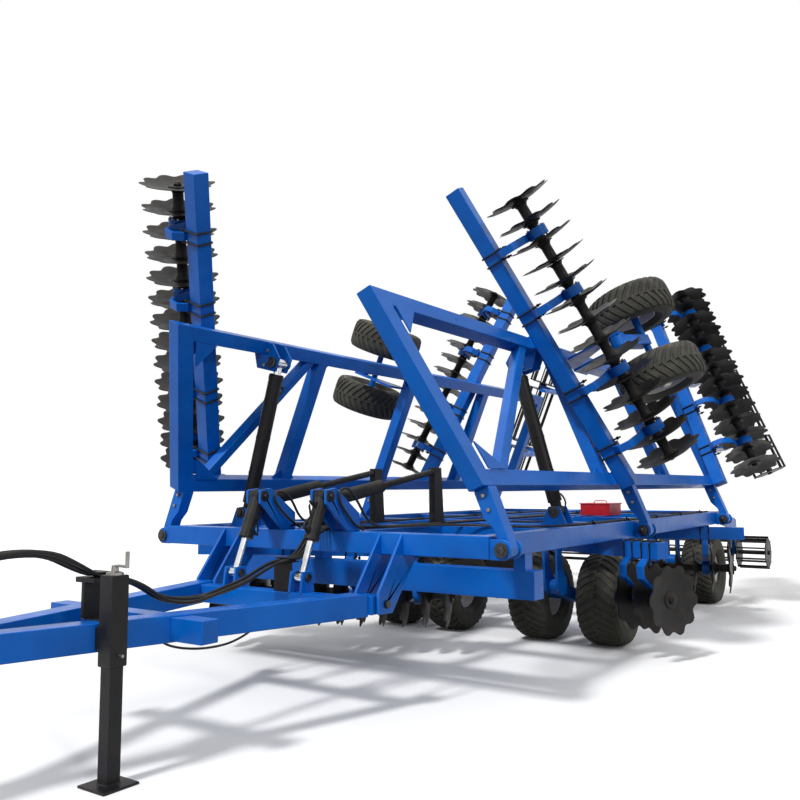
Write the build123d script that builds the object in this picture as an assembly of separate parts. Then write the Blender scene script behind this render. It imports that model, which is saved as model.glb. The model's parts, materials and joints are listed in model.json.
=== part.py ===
from build123d import *
import math
import os

# Trailed disc harrow, parked on its wheels and jack with both wings folded up.
# Millimetres. X is across the machine (+X its left), -Y is forward to the towing eye, +Z is up.
# Places along Y are measured from the front hinge pins, and the whole is moved by fore_shift at the end.

fore_shift = -1926.0        # puts the middle of the whole length at Y = 0
fold_deg = 112.6            # how far a wing is lifted from flat
hinge_x = 1650.0            # wing hinge line, from the middle
hinge_z = 1114.0
hinge_ys = (0.0, 2830.0, 5840.0)
hinge_pin_r = 30.0

# Centre frame
frame_low_z = 1050.0
frame_high_z = 1200.0
cross_low_z = 1060.0
cross_high_z = 1190.0
beam = 150.0                # square tube of the front and rear beams
rail_width = 120.0
side_rail_x = 1500.0
inner_rail_x = 350.0
front_face_y = -100.0
rear_beam_y = 6050.0

# Discs and gangs
disc_r = 307.0
notch_r = 268.0
disc_teeth = 10
disc_thick = 10.0
disc_gap = 200.0            # along the axle
gang_axle_z = 540.0
gang_beam_size = 140.0
gang_beam_z = 964.0         # middle of the gang beams while the wings are flat
spool_r = 58.0
axle_r = 24.0
axle_tail = 45.0            # axle end with its nut, past the last disc
bearing_half = 45.0
bearing_r = 92.0

# Wheels
tyre_r = 437.0
tyre_width = 404.0
rim_r = 205.0
hub_r = 62.0
stub_r = 35.0
main_wheel_y = 2970.0
main_wheel_xs = (505.0, 1216.0)
main_arm_x = 860.0
main_pivot_y = 2540.0
rear_wheel_x = 1216.0
rear_wheel_y = 6435.0
rear_arm_x = 930.0
rear_pivot_y = 6050.0
pivot_z = 570.0
wing_wheel_y = 3050.0
wing_wheel_ss = (1330.0, 2040.0)
wing_arm_s = 1685.0

# Wings, in their flat place: s is outboard of the hinge line, n is below it
wing_rail = 120.0
inner_s = 490.0
outer_s = 1800.0
wing_rear_y = 6100.0

# Drawbar
bar_hinge_x = 780.0
bar_hinge_y = -300.0
bar_z = 740.0
bar_size = 150.0
apex_y = -2900.0
eye_y = -3450.0
eye_bore_r = 36.0
eye_outer_r = 78.0
eye_thick = 60.0
jack_x = 420.0
jack_y = -2120.0

# Levelling rams: foot on the drawbar, head in the towers
level_x = 320.0
level_foot = (-520.0, 905.0)
level_head = (-300.0, 1460.0)

# Fold rams: foot pin on the centre frame, head pin on the wing
fold_foot_in = 480.0
fold_foot_up = 190.0
fold_head_s = 1710.0
fold_head_up = 200.0
fold_ys = {1: 1900.0, -1: 450.0}
fold_eye_width = 110.0
fold_gap = 132.0            # between the plates that hold a fold ram's eye
fold_plate = 18.0
barrel_r = 62.0

# Rollers
roller_y = 7160.0
roller_r = 220.0
roller_z = 620.0
roller_bars = 9

# Gangs, one row each: name, side, first disc, disc count, axle y at nought, slope, beam ahead by,
# beam from, beam to. Centre gangs are measured along X from the middle, wing gangs from the hinge line.
centre_gangs = (
    ("right_front", -1, -186.0, 12, 1630.0, -0.44, 150.0, -330.0, 1950.0),
    ("right_rear", -1, 416.0, 9, 3680.0, 0.27, 200.0, 250.0, 1950.0),
    ("left_front", 1, 1600.0, 3, 3290.0, -0.44, 110.0, 270.0, 1950.0),
    ("left_rear", 1, 226.0, 9, 5100.0, 0.27, 200.0, 120.0, 1950.0),
)
wing_gangs = (
    ("right_front", -1, 500.0, 14, 760.0, -0.44, 140.0, 400.0, 3020.0),
    ("right_rear", -1, 500.0, 14, 4130.0, 0.27, 200.0, 400.0, 3060.0),
    ("left_front", 1, 500.0, 14, 2730.0, -0.44, 110.0, 400.0, 3200.0),
    ("left_rear", 1, 500.0, 14, 5850.0, 0.27, 200.0, 400.0, 3060.0),
)
# Cross members of each wing, by their places along Y, and the brace's rear end
wing_cross_ys = {1: (2250.0, 4100.0), -1: (1200.0, 2830.0, 4500.0)}
wing_brace = {1: (230.0, 1640.0), -1: (130.0, 1080.0)}

low = (Align.CENTER, Align.CENTER, Align.MIN)


def bar(a, b, wide, high):
    """A solid bar of wide by high section between points a and b."""
    a, b = Vector(*a), Vector(*b)
    run = b - a
    across = Vector(0, 0, 1).cross(run)
    if across.length < 1e-6:
        across = Vector(1, 0, 0)
    place = Plane(origin=a, x_dir=across, z_dir=run)
    return place * Box(wide, high, run.length, align=low)


def rod(a, b, r, hole=0.0):
    """A round bar between points a and b, with a hole through it if one is given."""
    a, b = Vector(*a), Vector(*b)
    length = (b - a).length
    piece = Cylinder(r, length, align=low)
    if hole:
        piece -= Cylinder(hole, length, align=low)
    return Plane(origin=a, z_dir=b - a) * piece


def block(x, y, z):
    """A box from its low and high places along each axis."""
    size = (abs(x[1] - x[0]), abs(y[1] - y[0]), abs(z[1] - z[0]))
    corner = Pos(min(x), min(y), min(z))
    return corner * Box(*size, align=(Align.MIN, Align.MIN, Align.MIN))


def across_plate(points, y0, thick):
    """A flat plate across the machine: its outline in x and z, from y0 backward."""
    face = make_face(Polyline(*points, close=True))
    place = Plane(origin=(0, y0, 0), x_dir=(1, 0, 0), z_dir=(0, -1, 0))
    return place * extrude(face, -thick)


def side_plate(points, x0, thick):
    """A flat plate along the machine: its outline in y and z, from x0 to the left."""
    face = make_face(Polyline(*points, close=True))
    place = Plane(origin=(x0, 0, 0), x_dir=(0, 1, 0), z_dir=(1, 0, 0))
    return place * extrude(face, thick)


def level_plate(points, z0, thick):
    """A flat plate seen from above: its outline in x and y, from z0 upward."""
    face = make_face(Polyline(*points, close=True))
    return Pos(0, 0, z0) * extrude(face, thick)


def strip(points, thick):
    """The closed outline of a strip of one thickness along points in a plane."""
    left, right = [], []
    for i, (x, y) in enumerate(points):
        turns = []
        if i > 0:
            turns.append(math.atan2(y - points[i - 1][1], x - points[i - 1][0]))
        if i < len(points) - 1:
            turns.append(math.atan2(points[i + 1][1] - y, points[i + 1][0] - x))
        dx = sum(math.cos(t) for t in turns)
        dy = sum(math.sin(t) for t in turns)
        size = math.hypot(dx, dy)
        half = thick / 2 / (size / len(turns))
        nx, ny = -dy / size, dx / size
        left.append((x + nx * half, y + ny * half))
        right.append((x - nx * half, y - ny * half))
    return left + right[::-1]


def boxes_meet(a, b):
    """Whether two bounding boxes overlap."""
    return all(
        getattr(a.min, k) < getattr(b.max, k) and getattr(b.min, k) < getattr(a.max, k)
        for k in ("X", "Y", "Z")
    )


def less(pieces, cutters):
    """The pieces with every cutter taken out, as a flat list of solids."""
    out = []
    for piece in pieces:
        for cutter in cutters:
            if boxes_meet(piece.bounding_box(), cutter.bounding_box()):
                piece = piece - cutter
        out += list(piece.solids())
    return out


def at_wing(side, s, y, n):
    """The place of a wing point while the wing is flat."""
    return (side * (hinge_x + s), y, hinge_z - n)


def folded(side, piece):
    """A wing piece turned up about its hinge line."""
    pin = Pos(side * hinge_x, 0, hinge_z)
    back = Pos(-side * hinge_x, 0, -hinge_z)
    return pin * Rot(0, -side * fold_deg, 0) * back * piece


nodes = {}


def keep(name, pieces, wing=0):
    """Stores a node's solids, folding them when they belong to a wing."""
    if not isinstance(pieces, (list, tuple)):
        pieces = [pieces]
    solids = []
    for piece in pieces:
        solids += list(piece.solids())
    if wing:
        solids = [folded(wing, s) for s in solids]
    nodes[name] = solids


# Gangs: notched discs and spools on one axle, hung from a beam on C springs

def notched_disc():
    """One disc about the Z axis, with a row of teeth round its edge."""
    points = []
    for tooth in range(disc_teeth):
        for turn, r in ((0.0, disc_r), (0.5, notch_r)):
            angle = 2 * math.pi * (tooth + turn) / disc_teeth
            points.append((r * math.cos(angle), r * math.sin(angle)))
    face = make_face(Polyline(*points, close=True))
    return Pos(0, 0, -disc_thick / 2) * extrude(face, disc_thick)


def gang(first, last, count):
    """Discs evenly spaced from first to last, on an axle with spools between them."""
    first, last = Vector(*first), Vector(*last)
    length = (last - first).length
    whole = Pos(0, 0, -axle_tail) * Cylinder(axle_r, length + 2 * axle_tail, align=low)
    whole += Cylinder(spool_r, length, align=low)
    one = notched_disc()
    for i in range(count):
        whole += Pos(0, 0, i * length / (count - 1)) * Rot(0, 0, 17.0 * i) * one
    return Plane(origin=first, z_dir=last - first) * whole


def hanger(top, axle, along):
    """A C spring from under the gang beam to the axle bearing, with the bearing's shell."""
    top, axle, along = Vector(*top), Vector(*axle), Vector(*along).normalized()
    up = Vector(0, 0, 1)
    across = along.cross(up)
    reach = (axle - top).dot(across)
    if reach < 0:
        across, reach = across * -1, -reach
    fall = (top - axle).dot(up) - bearing_r + 6
    points = (
        (60.0, 0.0),
        (-90.0, 0.0),
        (-150.0, -0.22 * fall),
        (-140.0, -0.6 * fall),
        (-40.0, -0.92 * fall),
        (reach, -fall),
    )
    face = make_face(Polyline(*strip(points, 24.0), close=True))
    place = Plane(origin=top, x_dir=across, z_dir=across.cross(up))
    leaf = place * extrude(face, 35.0, both=True)
    half = along * bearing_half
    shell = rod(axle - half, axle + half, bearing_r)
    return (Part() + leaf + shell) - rod(axle - half, axle + half, spool_r + 1.0)


def hanger_slots(count):
    """Between which discs the hangers stand."""
    if count == 3:
        return (0, 1)
    if count < 10:
        return (1, count // 2 - 1, count - 3)
    return (1, count // 3, 2 * count // 3 - 1, count - 3)


def make_gang(row, base):
    """The gang, its beam and its hangers, with base where the row's distances start."""
    name, side, start, count, y0, slope, ahead, beam_from, beam_to = row
    step = disc_gap / math.hypot(1, slope)

    def place(x, dy, z):
        return (side * (base + x), y0 + slope * x + dy, z)

    first = place(start, 0, gang_axle_z)
    last = place(start + (count - 1) * step, 0, gang_axle_z)
    whole = gang(first, last, count)
    beam_piece = bar(
        place(beam_from, -ahead, gang_beam_z), place(beam_to, -ahead, gang_beam_z),
        gang_beam_size, gang_beam_size,
    )
    hangers = []
    under = gang_beam_z - gang_beam_size / 2 - 12.0
    square = slope * ahead / (1 + slope * slope)
    for slot in hanger_slots(count):
        x = start + (slot + 0.5) * step
        top = place(x + square, -ahead, under)
        hangers.append(hanger(top, place(x, 0, gang_axle_z), Vector(*last) - Vector(*first)))
    return whole, beam_piece, hangers


def beam_y(row, x):
    """Where a gang's beam is along Y, at a distance x along its row."""
    return row[4] + row[5] * x - row[6]


beams, hangers = [], []
for row in centre_gangs:
    whole, beam_piece, its_hangers = make_gang(row, 0.0)
    keep("gang_centre_" + row[0], whole)
    beams.append(beam_piece)
    hangers += its_hangers
gang_beams = beams
keep("centre_gang_hangers", hangers)


# Centre frame

front_beam = block((-hinge_x + 90, hinge_x - 90), (front_face_y, front_face_y + beam), (frame_low_z, frame_high_z))
rear_beam = block(
    (-hinge_x + 90, hinge_x - 90), (rear_beam_y - beam / 2, rear_beam_y + beam / 2), (frame_low_z, frame_high_z)
)
rails = []
for side in (1, -1):
    for x in (side_rail_x, inner_rail_x):
        rails.append(block(
            (side * x - rail_width / 2, side * x + rail_width / 2),
            (front_face_y + beam, rear_beam_y - beam / 2),
            (frame_low_z, frame_high_z),
        ))
keep("frame_long_rails", rails)

cross = [front_beam, rear_beam]
cross_rows = (          # middle y, from x, to x
    (450.0, -1440.0, -410.0),
    (1250.0, -1440.0, 1440.0),
    (1900.0, 410.0, 1440.0),
    (2450.0, -1440.0, 1440.0),
    (3700.0, -1440.0, 1440.0),
    (5000.0, -1440.0, 1440.0),
)
for y, x0, x1 in cross_rows:
    cross += less([block((x0, x1), (y - 60, y + 60), (cross_low_z, cross_high_z))], rails)
keep("frame_cross_members", cross)

# The lugs and pins that carry the wings
lugs, pins = [], []
lug_gap = 125.0
lug_thick = 25.0
for side in (1, -1):
    for y in hinge_ys:
        for near in (-1, 1):
            y0 = y + near * (lug_gap / 2 + lug_thick / 2) - lug_thick / 2
            lug = block((side * 1560, side * hinge_x), (y0, y0 + lug_thick), (1046, 1182))
            lug += rod((side * hinge_x, y0, hinge_z), (side * hinge_x, y0 + lug_thick, hinge_z), 68)
            lug -= rod((side * hinge_x, y0, hinge_z), (side * hinge_x, y0 + lug_thick, hinge_z), hinge_pin_r + 0.3)
            lugs.append(lug)
        reach = lug_gap / 2 + lug_thick
        pin = rod((side * hinge_x, y - reach - 12, hinge_z), (side * hinge_x, y + reach + 12, hinge_z), hinge_pin_r)
        for end in (-1, 1):
            y_in = y + end * reach
            pin += rod((side * hinge_x, y_in, hinge_z), (side * hinge_x, y_in + end * 12, hinge_z), 44)
        pins.append(pin)

# Towers for the levelling rams, and the plates that carry the drawbar
towers = []
tower_outline = ((-100, 1200), (-345, 1405), (-345, 1505), (-230, 1520), (50, 1330), (50, 1200))
for side in (1, -1):
    for x0 in (side * level_x - 75, side * level_x + 53):
        plate = side_plate(tower_outline, x0, 22)
        plate -= rod((x0, level_head[0], level_head[1]), (x0 + 22, level_head[0], level_head[1]), 26.0)
        towers.append(plate)

bar_lug_outline = ((-100, 1200), (-385, 820), (-385, 680), (-225, 672), (45, 1000), (45, 1050), (-100, 1050))
bar_lugs, bar_pins = [], []
for side in (1, -1):
    for x0 in (side * bar_hinge_x - 105, side * bar_hinge_x + 83):
        plate = side_plate(bar_lug_outline, x0, 22)
        plate -= rod((x0, bar_hinge_y, bar_z), (x0 + 22, bar_hinge_y, bar_z), 25.3)
        bar_lugs.append(plate)
    a = (side * bar_hinge_x - 125, bar_hinge_y, bar_z)
    b = (side * bar_hinge_x + 125, bar_hinge_y, bar_z)
    bar_pins.append(rod(a, b, 25))
keep("frame_lugs", lugs + bar_lugs)

low_beam = [block((-1620, 1620), (450, 600), (730, 930))]
for side in (1, -1):
    for x in (side_rail_x, inner_rail_x):
        low_beam.append(block((side * x - 45, side * x + 45), (465, 585), (930, 1050)))
low_frame = low_beam[0]
for leg in low_beam[1:]:
    low_frame += leg

# Clamps under the frame that hold the gang beams, and the fold ram feet on top of it
gang_beam_top = gang_beam_z + gang_beam_size / 2
clamp_rows = (          # gang row, place along its beam
    (0, -290.0), (0, 350.0), (0, 1500.0),
    (1, 350.0), (1, 1500.0),
    (2, 1500.0), (2, 350.0),
    (3, 350.0), (3, 1500.0),
)
for index, x in clamp_rows:
    row = centre_gangs[index]
    px, py = row[1] * x, beam_y(row, x)
    gang_beams[index] += block((px - 58, px + 58), (py - 85, py + 85), (gang_beam_top, frame_low_z))
keep("centre_gang_beams", gang_beams)
feet = []
foot_x = hinge_x - fold_foot_in
foot_z = hinge_z + fold_foot_up
for side in (1, -1):
    y = fold_ys[side]
    outline = (
        (side * (foot_x - 120), cross_high_z), (side * (foot_x + 120), cross_high_z),
        (side * (foot_x + 50), foot_z + 45), (side * (foot_x - 50), foot_z + 45),
    )
    for y0 in (y - fold_gap / 2 - fold_plate, y + fold_gap / 2):
        plate = across_plate(outline, y0, fold_plate)
        plate -= rod((side * foot_x, y0, foot_z), (side * foot_x, y0 + fold_plate, foot_z), 28.3)
        feet.append(plate)
fold_pins = [
    rod((side * foot_x, fold_ys[side] - 95, foot_z), (side * foot_x, fold_ys[side] + 95, foot_z), 28.0)
    for side in (1, -1)
]
keep("frame_pins", pins + bar_pins + fold_pins)
keep("frame_brackets", towers + feet)

# Levelling struts that run back from the towers to a post on the frame
struts = []
for side in (1, -1):
    a = (side * level_x, -150.0, 1440.0)
    m = (side * level_x, 420.0, 1530.0)
    b = (side * level_x, 1190.0, 1652.0)
    outline = ((1180, 1200), (1330, 1200), (1290, 1690), (1180, 1690))
    post = side_plate(outline, side * level_x - 30, 60)
    struts.append(rod(a, m, 52) + rod(m, b, 26) + post)
keep("levelling_struts", struts)

# Wheels, their arms and stubs

def tyre(x, y, z):
    """A tyre about the X axis with a flat tread, rounded shoulders and bulged walls."""
    half = tyre_width / 2
    points = (
        (-half * 0.62, rim_r + 2), (-half * 0.94, rim_r + 60), (-half, tyre_r - 130),
        (-half * 0.93, tyre_r - 38), (-half * 0.78, tyre_r - 10), (-half * 0.4, tyre_r),
        (half * 0.4, tyre_r), (half * 0.78, tyre_r - 10), (half * 0.93, tyre_r - 38),
        (half, tyre_r - 130), (half * 0.94, rim_r + 60), (half * 0.62, rim_r + 2),
    )
    face = make_face(Polyline(*points, close=True))
    ring = revolve(face, Axis.X)
    return Pos(x, y, z) * ring


def wheel_rim(x, y, z, out):
    """A dished steel rim about the X axis, its disc towards out, with a bored hub."""
    half = tyre_width / 2
    points = (
        (-half * 0.60, rim_r - 14), (-half * 0.60, rim_r), (half * 0.60, rim_r), (half * 0.60, rim_r - 14),
        (half * 0.34, rim_r - 30), (half * 0.30, rim_r - 30), (half * 0.14, 120), (half * 0.22, hub_r + 30),
        (half * 0.62, hub_r), (half * 0.62, stub_r + 1), (-half * 0.45, stub_r + 1), (-half * 0.45, hub_r),
        (-half * 0.02, hub_r + 22), (-half * 0.02, 126), (half * 0.14, rim_r - 40), (0, rim_r - 34),
    )
    points = tuple((out * px, py) for px, py in points)
    face = make_face(Polyline(*points, close=True))
    return Pos(x, y, z) * revolve(face, Axis.X)


def stand_wheels(name, places, wing=0):
    """A pair of tyres and a pair of rims, from rows of x, y, z and the side their discs face."""
    keep("tyres_" + name, [tyre(x, y, z) for x, y, z, out in places], wing)
    keep("rims_" + name, [wheel_rim(x, y, z, out) for x, y, z, out in places], wing)


def wheel_arm(pivot, end, stub_from, stub_to):
    """A wheel's arm from its pivot to the hub line, with the stub axle across its end."""
    arm = bar(pivot, end, 100, 120)
    arm += rod((pivot[0] - 50, pivot[1], pivot[2]), (pivot[0] + 50, pivot[1], pivot[2]), 70)
    arm += rod((stub_from, end[1], end[2]), (stub_to, end[1], end[2]), stub_r)
    return arm


arms = []
drops = []
for side in (1, -1):
    word = "left" if side > 0 else "right"
    stand_wheels("main_" + word, [
        (side * main_wheel_xs[0], main_wheel_y, tyre_r, -side),
        (side * main_wheel_xs[1], main_wheel_y, tyre_r, side),
    ])
    stand_wheels("rear_" + word, [(side * rear_wheel_x, rear_wheel_y, tyre_r, side)])
    x = side * main_arm_x
    arms.append(wheel_arm(
        (x, main_pivot_y, pivot_z), (x, main_wheel_y, tyre_r),
        side * (main_wheel_xs[0] - 130), side * (main_wheel_xs[1] + 130),
    ))
    x = side * rear_arm_x
    arms.append(wheel_arm(
        (x, rear_pivot_y, pivot_z), (x, rear_wheel_y, tyre_r), x, side * (rear_wheel_x + 130),
    ))
    for x, pivot_y, y0, y1, top in (
        (side * main_arm_x, main_pivot_y, 2395, 2505, cross_low_z),
        (side * rear_arm_x, rear_pivot_y, rear_beam_y - 70, rear_beam_y + 70, frame_low_z),
    ):
        outline = ((y0, top), (y0, 560), (pivot_y - 60, 500), (pivot_y + 75, 500), (pivot_y + 75, 640), (y1, 760), (y1, top))
        for x0 in (x - 76, x + 54):
            drops.append(side_plate(outline, x0, 22))
keep("centre_wheel_arms", arms)

# Rollers: a cage of bars on rings

def cage(name, sections, shaft_from, shaft_to, side=0):
    """A cage roller about an axis along X, made of sections on one shaft."""
    base = hinge_x if side else 0.0
    turn = side if side else 1
    whole = rod((turn * (base + shaft_from), roller_y, roller_z), (turn * (base + shaft_to), roller_y, roller_z), 28)
    for x0, x1 in sections:
        a, b = turn * (base + x0), turn * (base + x1)
        for k in range(4 if abs(x1 - x0) > 900 else 2):
            rings = 4 if abs(x1 - x0) > 900 else 2
            x = a + (b - a) * k / (rings - 1)
            x = min(max(x, min(a, b) + 6), max(a, b) - 6)
            whole += rod((x - 6, roller_y, roller_z), (x + 6, roller_y, roller_z), roller_r - 26)
        for k in range(roller_bars):
            angle = 2 * math.pi * k / roller_bars
            y = roller_y + (roller_r - 15) * math.cos(angle)
            z = roller_z + (roller_r - 15) * math.sin(angle)
            square = Pos(0, y, z) * Rot(math.degrees(angle), 0, 0) * Box(abs(b - a), 30, 14)
            whole += Pos((a + b) / 2, 0, 0) * square
    keep(name, whole, side)


cage("roller_centre", ((-1880, -1500), (-1400, 1400), (1500, 1880)), -1900, 1900)
roller_arms = []
for side in (1, -1):
    outline = ((6125, 1190), (6125, 1060), (7090, 930), (7090, 590), (7230, 590), (7230, 1050), (7130, 1080))
    plate = side_plate(outline, side * 1450 - 20, 40)
    plate -= rod((side * 1450 - 20, roller_y, roller_z), (side * 1450 + 20, roller_y, roller_z), 29)
    roller_arms.append(plate)
keep("centre_under_frame", [low_frame] + drops + roller_arms)

# Red oil box on the frame
keep("oil_box", block((560, 900), (3900, 4260), (1200, 1330)))

# Wings, made flat and then folded. The hinge arms are thin where they pass the side rails.
arm_outline = ((0, -52), (0, 20), (150, 20), (240, 60), (430, 60), (430, -60), (90, -60))
for side, word in ((1, "left"), (-1, "right")):
    own = [row for row in wing_gangs if row[1] == side]
    beams, hangers = [], []
    for row in own:
        whole, beam_piece, its_hangers = make_gang(row, hinge_x)
        keep("gang_wing_" + row[0], whole, wing=side)
        beams.append(beam_piece)
        hangers += its_hangers
    keep("wing_" + word + "_gang_hangers", hangers, wing=side)

    half = wing_rail / 2
    nose = level_plate(
        [(side * (hinge_x + s), y) for s, y in ((430, -118), (1860, -632), (1860, -472), (430, 42))],
        hinge_z - half, wing_rail,
    )
    rails = []
    for s, y0 in ((inner_s, -60), (outer_s, -550)):
        x = side * (hinge_x + s)
        rails.append(block((x - half, x + half), (y0, wing_rear_y - 60), (hinge_z - half, hinge_z + half)))
    rails = less(rails, [nose])
    keep("wing_" + word + "_long_rails", rails, wing=side)
    keep("wing_" + word + "_gang_beams", beams, wing=side)

    members = [nose, block(
        (side * (hinge_x + 430), side * (hinge_x + 1860)), (wing_rear_y - 60, wing_rear_y + 60),
        (hinge_z - half, hinge_z + half),
    )]
    inside = (side * (hinge_x + 550), side * (hinge_x + 1740))
    across = []
    for y in wing_cross_ys[side]:
        across.append(block(inside, (y - 65, y + 65), (hinge_z - 55, hinge_z + 55)))
    brace = bar(
        at_wing(side, 500, wing_brace[side][0], 0), at_wing(side, 1800, wing_brace[side][1], 0), 90, 90
    )
    members += across + less([brace], rails + across + [nose])
    for y in hinge_ys:
        outline = [(side * (hinge_x + s), hinge_z + up) for s, up in arm_outline]
        arm = across_plate(outline, y - 55, 110)
        arm += rod((side * hinge_x, y - 55, hinge_z), (side * hinge_x, y + 55, hinge_z), 55)
        arm -= rod((side * hinge_x, y - 55, hinge_z), (side * hinge_x, y + 55, hinge_z), hinge_pin_r + 1.0)
        members += less([arm], [nose])
    keep("wing_" + word + "_cross_members", members, wing=side)

    brackets = []
    for row in own:
        for s in (inner_s, outer_s):
            x, y = side * (hinge_x + s), beam_y(row, s)
            brackets.append(block((x - 58, x + 58), (y - 85, y + 85), (gang_beam_top, hinge_z - half)))
    y = fold_ys[side]
    outline = [(side * (hinge_x + s), hinge_z - n) for s, n in (
        (1860, -60), (1740, -60), (1740, 50), (1610, -40), (1640, -250), (1770, -262), (1860, -140),
    )]
    hx, hz = side * (hinge_x + fold_head_s), hinge_z + fold_head_up
    for y0, y1 in (
        (y - fold_gap / 2 - fold_plate, y - fold_gap / 2 - fold_plate - 14),
        (y + fold_gap / 2, y + fold_gap / 2 + fold_plate + 14),
    ):
        plate = across_plate(outline, y0, fold_plate)
        plate += rod((hx, y0, hz), (hx, y0 + fold_plate, hz), 60)
        plate += rod((hx, y0, hz), (hx, y1, hz), 34)
        brackets.append(plate)
    keep("wing_" + word + "_brackets", brackets, wing=side)

    wheel_z = tyre_r
    stand_wheels("wing_" + word, [
        (side * (hinge_x + wing_wheel_ss[0]), wing_wheel_y, wheel_z, -side),
        (side * (hinge_x + wing_wheel_ss[1]), wing_wheel_y, wheel_z, side),
    ], wing=side)
    x = side * (hinge_x + wing_arm_s)
    pivot_y = wing_wheel_y - 430
    arm = wheel_arm(
        (x, pivot_y, pivot_z), (x, wing_wheel_y, wheel_z),
        side * (hinge_x + wing_wheel_ss[0] - 130), side * (hinge_x + wing_wheel_ss[1] + 130),
    )
    outline = (
        (pivot_y - 70, hinge_z - half), (pivot_y - 70, 520), (pivot_y + 70, 500),
        (pivot_y + 70, 700), (pivot_y + 250, hinge_z - half),
    )
    legs = [side_plate(outline, x + d, 22) for d in (-76, 54)]
    cage("roller_wing_" + word, ((420, 900), (1000, 1900), (2000, 2560)), 400, 2580, side)
    roller_arms = []
    for s in (950, 1950):
        x = side * (hinge_x + s)
        outline = ((6160, 1165), (6160, 1070), (7090, 930), (7090, 590), (7230, 590), (7230, 1030), (7130, 1060))
        plate = side_plate(outline, x - 20, 40)
        plate -= rod((x - 20, roller_y, roller_z), (x + 20, roller_y, roller_z), 29)
        roller_arms.append(plate)
    keep("wing_" + word + "_arms", [arm] + legs + roller_arms, wing=side)

# Fold rams, drawn folded
for side, word in ((1, "left"), (-1, "right")):
    y = fold_ys[side]
    turn = math.radians(fold_deg)
    hx = hinge_x + fold_head_s * math.cos(turn) - fold_head_up * math.sin(turn)
    hz = hinge_z + fold_head_s * math.sin(turn) + fold_head_up * math.cos(turn)
    foot = Vector(side * foot_x, y, foot_z)
    head = Vector(side * hx, y, hz)
    run = (head - foot).length
    place = Plane(origin=foot, x_dir=(0, 1, 0), z_dir=head - foot)
    eye = Rot(0, 90, 0) * (Cylinder(52, fold_eye_width) - Cylinder(29, fold_eye_width))
    barrel = Pos(0, 0, 40) * Cylinder(48, 60, align=low) + Pos(0, 0, 90) * Cylinder(barrel_r, run - 230, align=low)
    barrel -= Rot(0, 90, 0) * Cylinder(40, fold_eye_width)
    barrel += eye
    barrel -= Pos(0, 0, 140) * Cylinder(44, run, align=low)
    barrel += Pos(0, 0, run - 150) * (Cylinder(66, 40, align=low) - Cylinder(39, 40, align=low))
    inner = Pos(0, 0, 190) * Cylinder(38, run - 190 - 20, align=low)
    inner += Pos(0, 0, run) * Rot(0, 90, 0) * Cylinder(50, fold_eye_width)
    keep("fold_barrel_" + word, place * barrel)
    keep("fold_rod_" + word, place * inner)

# Levelling rams
barrels, rods = [], []
for side in (1, -1):
    head = Vector(side * level_x, *level_head)
    foot = Vector(side * level_x, *level_foot)
    run = (head - foot).length
    place = Plane(origin=head, x_dir=(1, 0, 0), z_dir=foot - head)
    pin = Rot(0, 90, 0) * Cylinder(25.5, 148)
    barrel = Pos(0, 0, 20) * Cylinder(50, 300, align=low) + Rot(0, 90, 0) * Cylinder(48, 90)
    barrel -= Pos(0, 0, 70) * Cylinder(34, 300, align=low)
    barrel += Pos(0, 0, 300) * (Cylinder(55, 30, align=low) - Cylinder(26, 30, align=low))
    barrels.append(place * (barrel + pin))
    inner = Pos(0, 0, 130) * Cylinder(25, run - 130 - 10, align=low)
    inner += Pos(0, 0, run) * Rot(0, 90, 0) * Cylinder(40, 72)
    rods.append(place * inner)
keep("level_barrels", barrels)
keep("level_rods", rods)

# Drawbar
half = bar_size / 2
apex = block((-130, 130), (apex_y - 260, apex_y + 130), (bar_z - half, bar_z + half))
hinge_blocks = []
for side in (1, -1):
    x = side * bar_hinge_x
    piece = block((x - 74, x + 74), (bar_hinge_y - 120, bar_hinge_y), (bar_z - 62, bar_z + 62))
    piece += rod((x - 74, bar_hinge_y, bar_z), (x + 74, bar_hinge_y, bar_z), 62)
    piece -= rod((x - 74, bar_hinge_y, bar_z), (x + 74, bar_hinge_y, bar_z), 26)
    hinge_blocks.append(piece)
tubes = []
for side in (1, -1):
    tube = bar((side * bar_hinge_x, bar_hinge_y, bar_z), (side * 40, apex_y, bar_z), bar_size, bar_size)
    tubes.append(tube)
cutter = block((-2000, 2000), (bar_hinge_y - 120, 500), (0, 2000))
tubes = less(tubes, [apex, cutter])
keep("drawbar_tubes", tubes)
members = [apex] + hinge_blocks
for y in (-520.0, -1700.0):
    members += less([block((-700, 700), (y - 60, y + 60), (bar_z - 65, bar_z + 65))], tubes + [
        block((-2000, -bar_hinge_x + 30), (-700, 0), (0, 2000)), block((bar_hinge_x - 30, 2000), (-700, 0), (0, 2000)),
    ])
ears = []
for side in (1, -1):
    outline = ((-590, bar_z + 65), (-450, bar_z + 65), (-470, 950), (-570, 950))
    for x0 in (side * level_x - 60, side * level_x + 42):
        ears.append(side_plate(outline, x0, 18))
for ear in ears:
    for i, member in enumerate(members):
        if abs(member.bounding_box().center().Y + 520) < 5:
            members[i] = member + ear
keep("drawbar_members", members)
ring = Pos(0, eye_y, bar_z) * (Cylinder(eye_outer_r, eye_thick) - Cylinder(eye_bore_r, eye_thick))
shank = block((-40, 40), (eye_y + eye_outer_r - 12, apex_y - 260), (bar_z - 28, bar_z + 28))
keep("towing_eye", ring + shank)
stand = block((120, 150), (-2110, -1990), (bar_z + half, 1040)) + block((60, 240), (-2110, -1990), (1010, 1040))
keep("hose_stand", less([stand], tubes))

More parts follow.
